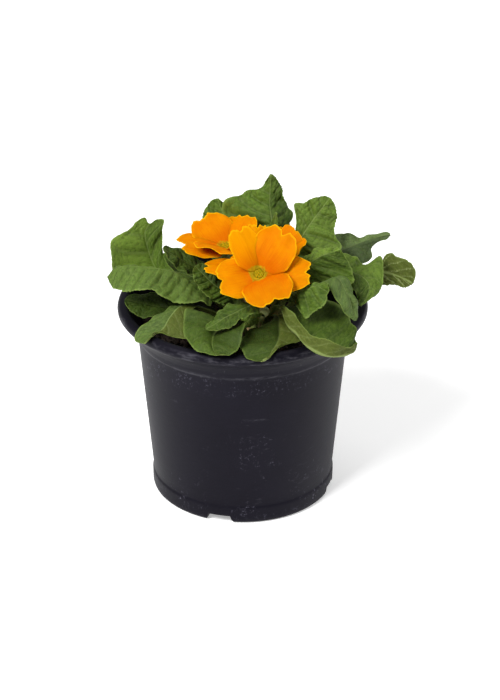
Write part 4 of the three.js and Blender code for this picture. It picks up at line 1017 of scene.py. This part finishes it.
def leafFinish():
    # Greens that cloud and mottle, greyer (partly a painted sheen) or fresher (partly painted light) by
    # leaf, with painted shade low in the rosette and on deep halves. Veins, midrib and margin are paler, the
    # net and the creases darker as painted shade in their hollows. The lower face is dull olive with a pale
    # net.
    material, pen, shader = newFinish("leafBlade", {
        "Subsurface Weight": 0.12, "Subsurface Scale": 0.001, "Subsurface Radius": (0.5, 1.0, 0.2),
        "Specular IOR Level": 0.16,
    })
    tones = leafTones
    weave = pen.mark("weave", out=1)
    spot = pen.mark("spot", out=1)
    look = pen.mark("look", out=1)
    crease, u, x = weave.parts()
    across = spot.parts()[1]
    youngAndLit, greyAndSheen, under = look.parts()
    net = pen.mark("net")
    blotch = pen.noise(spot, 0.8, 3.0)
    mottle = pen.noise(spot, 5.0, 4.0, 0.62)
    grain = pen.noise(spot, 40.0, 3.0, 0.6)
    midWide = 0.042 - u * 0.02 + under * 0.022
    rib = 1 - (across.size() / midWide).step(0.35, 1.3)
    vein = (1 - crease.step(0.03, 0.11)) * (1 - x.step(0.75, 1.0)) * u.step(0.15, 0.35)
    netLine = 1 - net.step(0.0, 0.45)
    fineCell = pen.add("TexVoronoi", {"feature": "DISTANCE_TO_EDGE"}, {"Vector": spot, "Scale": 10.0})
    fineLine = 1 - fineCell.step(0.0, 0.14)
    cloudy = pen.blend(blotch.step(0.35, 0.65), tones["deep"], tones["mid"])
    green = pen.blend(mottle.step(0.32, 0.72) * 0.6, cloudy, tones["light"])
    # grey green, partly a painted sheen on the leaves given much of it
    greyedAndSheened = pen.blend(greyAndSheen * 0.8, green, tones["greyAndSheen"])
    # painted light: a lighter, fresher green where a half's youth value is above 0
    freshAndLit = pen.blend(youngAndLit.most(0.0) * 0.7, greyedAndSheened, tones["freshAndLit"])
    # painted shade: darker where a half's value is below 0 (deep), and low in the rosette towards the crown,
    # blotched
    dark = (youngAndLit * -1.0).most(0.0) * (1.4 - u.step(0.35, 0.95) * 0.8) + (1 - u.step(0.2, 0.65)) * 0.5
    shade = (dark * (0.72 + blotch.step(0.38, 0.62) * 0.5)).least(1.0)
    shaded = pen.blend(shade * 0.85, freshAndLit, tones["shade"])
    # painted shade in the sunken side veins, along the net's lines and in the fine net
    creaseShade = (1 - crease.step(0.0, 0.26)) * 0.3 * u.step(0.15, 0.35)
    netAndCreaseShade = pen.blend((netLine * 0.32 + fineLine * 0.14 + creaseShade).least(1.0), shaded, tones["net"])
    bright = 1 - shade
    veined = pen.blend(vein * bright * 0.22, netAndCreaseShade, tones["vein"])
    low = pen.blend(mottle, tones["low"], tones["lowLight"])
    lowNet = pen.blend((netLine * 0.3 + fineLine * 0.12).least(1.0), low, tones["lowNet"])
    lowVein = pen.blend(vein * (0.14 + youngAndLit.most(0.0)), lowNet, tones["lowVein"])
    face = pen.blend(under, veined, lowVein)
    edged = pen.blend(x.step(0.92, 1.0) * (0.1 + bright * 0.45), face, tones["margin"])
    ribShare = rib * (0.6 - u * 0.3 + under * 0.15) * (0.2 + bright * 0.8)
    ribbed = pen.blend(ribShare, edged, tones["midrib"])
    stalk = pen.blend((1 - u.step(0.05, 0.3)) * 0.8, ribbed, tones["stalk"])
    foot = pen.blend((1 - u.step(0.0, 0.1)) * 0.6, stalk, tones["foot"])
    rough = 0.52 + grain * 0.2 + under * 0.12 - net * 0.05
    height = net * 0.3 + grain * 0.3 + mottle * 0.3 - fineLine * 0.4 * (1 - under) + fineLine * 0.3 * under
    bump = pen.bump(0.6, 0.0003, height)
    feed(pen, shader, colour=foot, rough=rough, normal=bump)
    return material


leafMaterial = leafFinish()
triangles = 0
for number, (node, given) in enumerate(leaves.items()):
    leaf = {**leafKind, **given}
    upper, look = leafSurface(leaf, np.random.default_rng(40 + number))
    points, faces = sheetSolid(upper * mm, leafThickness(leaf, look) * mm)
    marks = leafMarks(leaf, look, number)
    makePiece(node.replace("leaf", "blade"), points, [faces], leafMaterial, [node], marks)
    triangles += 2 * len(faces)
print("leaves made:", len(leaves), "with", triangles, "triangles")


# blooms
# centre, face: the throat and the way it looks; turns: angles of the petals; length, half: length and half
# width of the petals in millimetres; long, wide: each petal's share of them
# cup: how steeply each petal leaves the throat; curl: how far it has turned by the rim
# tilt: how far a petal's edges lie above and below its middle; lift: how far it lies above the next petals
# light: how much painted light a petal has, below 0 how much painted shade; stalk: points of the stem; back:
# how far below the throat the stem ends
blooms = {
    "bloom_a": {
        "centre": (7.7, -22, 123.6), "face": (0, -0.643, 0.766), "turns": (-67, -2, 55, 118, 194, 92),
        "length": 22, "long": (0.82, 1, 0.95, 0.97, 0.8, 0.97),
        "half": 11, "wide": (1.08, 0.85, 0.97, 0.72, 0.95, 0.6), "tilt": (0, 0, 0, 2, 0, 2),
        "lift": (2.0, -0.6, 1.6, 0.4, -0.6, 0), "light": (-0.35, 0.05, -0.1, 0.65, 0.1, 0.5),
        "cup": (22, 12, 26, 32, 12, 20), "curl": -5, "stalk": [(5, -6, 96.2), (6, -9, 104)], "back": 13,
    },
    "bloom_b": {
        "centre": (-8, 10.7, 122.2), "face": (-0.05, 0.02, 1), "turns": (-112, -20, 60, 128, 198),
        "length": 18.5, "long": (1, 1, 0.95, 1, 1.12),
        "half": 11, "wide": (1, 1, 1, 1, 1), "tilt": (-1.8,) * 5,
        "cup": (26, 35, 35, 36, 18), "curl": -8, "stalk": [(2, 0, 96.2), (-3, 5, 103)], "back": 12,
    },
    "bloom_c": {
        "centre": (19.2, 3, 125), "face": (0.1, -0.2, 0.97), "turns": (112, 184, 256, 328, 400),
        "length": 9, "long": (1, 1, 1, 1, 1), "half": 7, "wide": (1, 1, 1, 1, 1),
        "cup": (40, 30, 30, 30, 50), "curl": 0, "stalk": [(9, 0.5, 96.2), (13, 3, 106)], "back": 11,
    },
    "bloom_d": {
        "centre": (1.5, -10.7, 121.3), "face": (-0.2, -0.26, 0.93), "turns": (180, 252, 324, 396, 468),
        "length": 17, "long": (1, 0.35, 0.25, 0.3, 0.35), "half": 8, "wide": (1, 0.7, 0.7, 0.7, 0.7),
        "cup": (18, 70, 75, 75, 70), "curl": -5, "stalk": [(2.5, -4.5, 96.2), (2.5, -6.5, 103)], "back": 10,
    },
}
bloomKind = {"tilt": (2,) * 5, "lift": (0,) * 5, "light": (0,) * 5}
petalForm = {
    "rows": 44, "cols": 40, "throat": 2.4, "thick": 0.4, "thinner": 0.22,
    "cleft": (0.1, 0.34), "shoulder": (0.38, 0.45, 0.55),  # shares of the length, then of the half width
    "scallops": [(0.018, 9), (0.016, 17), (0.008, 31)],  # share of the length and quickness across
    "collar": [(-0.9, 2.3, 0, 0), (-0.9, 4, 0, 0), (0.5, 4.2, 0, 0), (0.6, 3.2, 0.1, 0), (0.5, 2.4, 0.1, 0)],
}
petalTones = {
    "orange": tone(206, 116, 0), "light": tone(214, 130, 0), "pale": tone(228, 150, 0),
    "deep": tone(176, 96, 0), "streak": tone(186, 76, 0), "warmAndShaded": tone(190, 84, 0), "rimHighlight": tone(240, 164, 8),
    "eye": tone(178, 142, 18), "eyeDark": tone(120, 108, 16),
}
throatForm = {
    "rows": [  # as for axisRings, up the outside, over the rim and down into the mouth
        (-7, 1.3, 0, 0), (-1.5, 1.4, 0, 0), (0.2, 1.75, 0.05, 0), (0.5, 2.36, 0.1, 0), (0.7, 1.95, 0.1, 0),
        (0.7, 1.5, 0.1, 0), (0.65, 1.15, 0.05, 0), (0.6, 0.8, 0, 0), (0.7, 0.5, 0, 0), (0.8, 0.2, 0, 0),
    ],
    "smooth": 3, "uneven": 0.2,  # rings left even, height of the unevenness in the others
}
stalkForm = {
    "radius": 1.05, "steps": 26, "share": 0.93,
    "start": [(0, 1.4, 0.05, 0), (0.6, 1.9, 0.15, 0), (1.5, 2.35, 0.22, 0)],  # from the stem's end
    "calyx": [  # from the throat
        (-6.5, 2.5, 0.28, 0), (-4.5, 2.6, 0.3, 0), (-3.6, 2.75, 0.2, 0.5), (-2.9, 2.9, 0.1, 0.9),
        (-2.9, 2.75, 0.1, 0.9), (-3.4, 2.4, 0.05, 0.4), (-7.5, 1.8, 0, 0),
    ],
}
bloomTurns = 60
east = np.array([1.0, 0, 0])


def bloomFrame(bloom):
    # The throat and three directions: right is east made square to the axis, over is square to both.
    axis = unit(np.array(bloom["face"], dtype=float))
    right = unit(east - dot(east, axis) * axis)
    return np.array(bloom["centre"], dtype=float), right, np.cross(axis, right), axis


def petalSurface(bloom, k, random):
    # A heart whose length is cut back in the middle and at both shoulders, with small scallops in the rim.
    # It leaves the throat at its cup angle, bends evenly by its curl and tilts over the next petal.
    form = petalForm
    s = np.linspace(0, 1, form["rows"] + 1)[:, None] + np.zeros(form["cols"] + 1)
    t = np.linspace(-1, 1, form["cols"] + 1)[None, :] + np.zeros_like(s)
    x = np.abs(t)
    turn = math.radians(bloom["turns"][k])
    length = bloom["length"] * bloom["long"][k]
    half = bloom["half"] * bloom["wide"][k]
    cup, curl = math.radians(bloom["cup"][k]), math.radians(bloom["curl"]) or 0.001
    depth, spread = form["cleft"]
    cleft = depth * np.maximum(0, 1 - x / spread) ** 1.5
    depth, begin, spread = form["shoulder"]
    shoulder = depth * (np.maximum(0, x - begin) / spread) ** 2
    shift = random.uniform(0, 6, 3)
    waves = zip(form["scallops"], shift)
    scallop = sum(depth * np.sin(quick * t + begin) for (depth, quick), begin in waves)
    reach = length * (1 - cleft - shoulder + scallop * (1 - x**4))
    wide = half * (0.34 + 0.66 * np.sin((np.pi / 2) * np.minimum(1, s / 0.5)) ** 0.9)
    out = form["throat"] + reach * (np.sin(cup + curl * s) - np.sin(cup)) / curl
    rise = -reach * (np.cos(cup + curl * s) - np.cos(cup)) / curl
    rise = rise + bloom["tilt"][k] * t * wide / half + bloom["lift"][k] * ease(s / 0.3)
    rise = rise + 0.5 * s * t * t * np.sin(7 * s + 2 * k + 3 * t)
    rise = rise + 0.5 * np.cos(2 * np.pi * t) * s * s
    rise = rise + 0.12 * np.sin(13 * t + shift[1]) * s**1.5 + 0.25 * np.sin(5 * t + shift[0]) * s**4
    px = out * math.cos(turn) - t * wide * math.sin(turn)
    py = out * math.sin(turn) + t * wide * math.cos(turn)
    centre, right, over, axis = bloomFrame(bloom)
    place = centre + px[..., None] * right + py[..., None] * over + rise[..., None] * axis
    return place, s, t, np.hypot(out, t * wide)


def petalFinish():
    # Orange that clouds a little, paler or deeper by petal as painted light and shade, redder in rays,
    # redder and darker towards the throat (partly painted shade), with a painted highlight in a narrow rim.
    # An uneven patch about the throat is yellow green, speckled darker.
    material, pen, shader = newFinish("orangePetal", {
        "Subsurface Weight": 0.4, "Subsurface Scale": 0.002, "Subsurface Radius": (1.0, 0.5, 0.05),
        "Specular IOR Level": 0.02,
    })
    fan = pen.mark("fan", out=1)
    reach = pen.mark("reach")
    s, t = fan.parts()[:2]
    local = pen.local()
    light = pen.mark("light")
    cloud = pen.noise(local, 160.0, 3.0)
    grain = pen.noise(local, 1400.0, 3.0)
    rays = pen.add("Mapping", None, {"Vector": fan, "Scale": (0.9, 13.0, 1.0)})
    streak = pen.noise(rays, 1.6, 3.0, 0.6)
    # painted highlight along the petal's rim and its side edges
    rimHighlight = (s.step(0.94, 1.0)).most((t.size()).step(0.93, 1.0) * s.step(0.25, 0.5))
    plain = pen.blend(cloud.step(0.3, 0.7), petalTones["orange"], petalTones["light"])
    # painted light and shade by petal: paler where its light value is above 0, deeper where below
    pale = pen.blend(light.most(0.0), plain, petalTones["pale"])
    body = pen.blend((light * -1.0).most(0.0), pale, petalTones["deep"])
    rayed = pen.blend((streak.step(0.45, 0.7) * (1 - s) * 0.6).least(1.0), body, petalTones["streak"])
    # redder and darker towards the throat, partly painted shade where the cup deepens
    warmAndShaded = pen.blend((1 - s.step(0.0, 0.7)) * 0.7, rayed, petalTones["warmAndShaded"])
    edged = pen.blend(rimHighlight * 0.85, warmAndShaded, petalTones["rimHighlight"])
    speck = pen.noise(local, 1000.0, 2.0)
    patch = 1 - (reach + (speck - 0.5) * 0.004 + (cloud - 0.5) * 0.005).step(0.0036, 0.0048)
    eyed = pen.blend(speck.step(0.45, 0.62) * 0.5, petalTones["eye"], petalTones["eyeDark"])
    eye = pen.blend(patch * 0.95, edged, eyed)
    height = streak * 0.4 + grain * 0.3
    bump = pen.bump(0.4, 0.0002, height)
    feed(pen, shader, colour=eye, rough=0.55 + grain * 0.15, normal=bump)
    return material


def throatFinish():
    # Yellow in two tones by a cloud, and darker and greener by the attribute deep, painted shade where the
    # surface lies low.
    material, pen, shader = newFinish("yellowThroat", {
        "Subsurface Weight": 0.2, "Subsurface Scale": 0.001, "Specular IOR Level": 0.05,
    })
    local = pen.local()
    cloud = pen.noise(local, 1000.0, 3.0)
    # painted shade: share of darker green where the rim and mouth lie low
    deep = pen.mark("deep")
    yellow = pen.blend(cloud.step(0.4, 0.6), tone(150, 122, 0), tone(188, 148, 4))
    colour = pen.blend(deep, yellow, tone(112, 108, 8))
    bump = pen.bump(0.4, 0.0002, cloud)
    feed(pen, shader, colour=colour, rough=0.5 + cloud * 0.2, normal=bump)
    return material


def stalkFinish():
    # Pale green with streaks along the stalk, reddish low down where it leaves the crown.
    material, pen, shader = newFinish("downyStalk", {
        "Subsurface Weight": 0.15, "Subsurface Scale": 0.001, "Sheen Weight": 0.3, "Sheen Roughness": 0.5,
    })
    local = pen.local()
    z = local.parts()[2]
    streak = pen.noise(pen.add("Mapping", None, {"Vector": local, "Scale": (1, 1, 0.2)}), 1300.0, 3.0)
    green = pen.blend(streak, tone(122, 140, 66), tone(160, 176, 100))
    colour = pen.blend((1 - z.step(0.096, 0.106)) * 0.7, green, tone(168, 118, 98))
    bump = pen.bump(0.4, 0.0002, streak)
    feed(pen, shader, colour=colour, rough=0.5 + streak * 0.2, normal=bump)
    return material


def axisRings(bloom, rows):
    # Rings about the bloom's axis: distance along it, radius, lobe height and tooth height in five lobes.
    centre, right, over, axis = bloomFrame(bloom)
    along, radius, lobe, tip = np.array(rows, dtype=float).T[:, :, None]
    angle = circle(bloomTurns)[None, :]
    wave = np.cos(5 * angle)
    out = radius + lobe * wave
    high = along + tip * np.maximum(0, wave)
    place = centre + high[..., None] * axis + (out * np.cos(angle))[..., None] * right
    return place + (out * np.sin(angle))[..., None] * over


def corollaShell(bloom, number, random):
    # Thin closed petals, thinner at the rim, about a closed collar. fan: share of the length, share of the
    # width and a seed; reach: distance from the throat's axis in metres; light: painted light, below 0
    # painted shade.
    points, faces, fans, reaches, lights = [], [], [], [], []
    for k in range(len(bloom["turns"])):
        upper, s, t, far = petalSurface(bloom, k, random)
        edge = np.maximum(np.abs(t), s)
        thick = petalForm["thick"] - petalForm["thinner"] * ease((edge - 0.7) / 0.3)
        petal, sides = sheetSolid(upper * mm, thick * mm)
        faces.append(sides + sum(len(part) for part in points))
        points.append(petal)
        fan = np.stack([s.ravel(), t.ravel(), np.full(s.size, k * 5.3 + number * 31)], axis=1)
        fans += [fan, fan]
        reaches += [far.ravel() * mm, far.ravel() * mm]
        lights.append(np.full(2 * s.size, bloom["light"][k]))
    collar = axisRings(bloom, petalForm["collar"])
    rows, turns = collar.shape[:2]
    numbers = gridNumbers(rows, turns)
    numbers = wrapped(np.concatenate([numbers, numbers[:1]]))
    faces.append(quadsOf(numbers) + sum(len(part) for part in points))
    points.append(collar.reshape(-1, 3) * mm)
    fans.append(np.zeros((rows * turns, 3)))
    reaches.append(np.repeat([row[1] for row in petalForm["collar"]], turns) * mm)
    lights.append(np.zeros(rows * turns))
    marks = {"fan": np.concatenate(fans), "reach": np.concatenate(reaches), "light": np.concatenate(lights)}
    return np.concatenate(points), faces, marks


def throatShell(bloom, number, random):
    # A plug in the corolla's mouth. Its rim and mouth are uneven by a slow wave and by chance, and where
    # they lie low they are darker, as painted shade in the hollows.
    lips = axisRings(bloom, throatForm["rows"])
    slow = np.sin(lips[..., 0] * 5.1 + 2 * number) * np.cos(lips[..., 1] * 4.3 + 1)
    uneven = slow + 0.4 * random.normal(0, 1, lips.shape[:2])
    uneven[:throatForm["smooth"]] = 0
    raised = throatForm["uneven"] * uneven[..., None] * bloomFrame(bloom)[3]
    points, faces = ringSolid((lips + raised) * mm)
    return points, faces, {"deep": np.concatenate([ease(0.5 - uneven.ravel()) * 0.8, [0, 0]])}


def stalkShell(bloom):
    # A round stem along a line from the crown to below the bloom, upright where it starts, then a calyx in
    # five lobes with pointed tips, closed inside. The calyx starts where the stem's rings do.
    centre, _, _, axis = bloomFrame(bloom)
    line = np.array([*bloom["stalk"], centre - axis * bloom["back"]], dtype=float)
    place, way = lineThrough(line, np.linspace(0, stalkForm["share"], stalkForm["steps"]))
    way[0] = (0, 0, 1)
    angle = circle(bloomTurns)
    side = unit(east - dot(east, way) * way)
    front = np.cross(way, side)
    ring = np.cos(angle)[:, None] * side[:, None] + np.sin(angle)[:, None] * front[:, None]
    stem = place[:, None] + stalkForm["radius"] * ring
    start = [(along - bloom["back"], *rest) for along, *rest in stalkForm["start"]]
    cup = axisRings(bloom, [*start, *stalkForm["calyx"]])
    apart = np.linalg.norm(cup[0] - stem[-1, 0], axis=1)
    cup = np.roll(cup, -int(np.argmin(apart)), axis=1)
    return ringSolid(np.concatenate([stem, cup]) * mm)


petalMaterial, throatMaterial, stalkMaterial = petalFinish(), throatFinish(), stalkFinish()
for number, (node, given) in enumerate(blooms.items()):
    bloom = {**bloomKind, **given}
    name = node.replace("bloom_", "")
    random = np.random.default_rng(90 + number)
    points, faces, marks = corollaShell(bloom, number, random)
    makePiece("corolla_" + name, points, faces, petalMaterial, [node + "_corolla"], marks)
    points, faces, marks = throatShell(bloom, number, random)
    makePiece("throat_" + name, points, faces, throatMaterial, [node + "_eye"], marks)
    points, faces = stalkShell(bloom)
    makePiece("stalk_" + name, points, faces, stalkMaterial, [node + "_stalk"])
print("blooms made:", len(blooms))
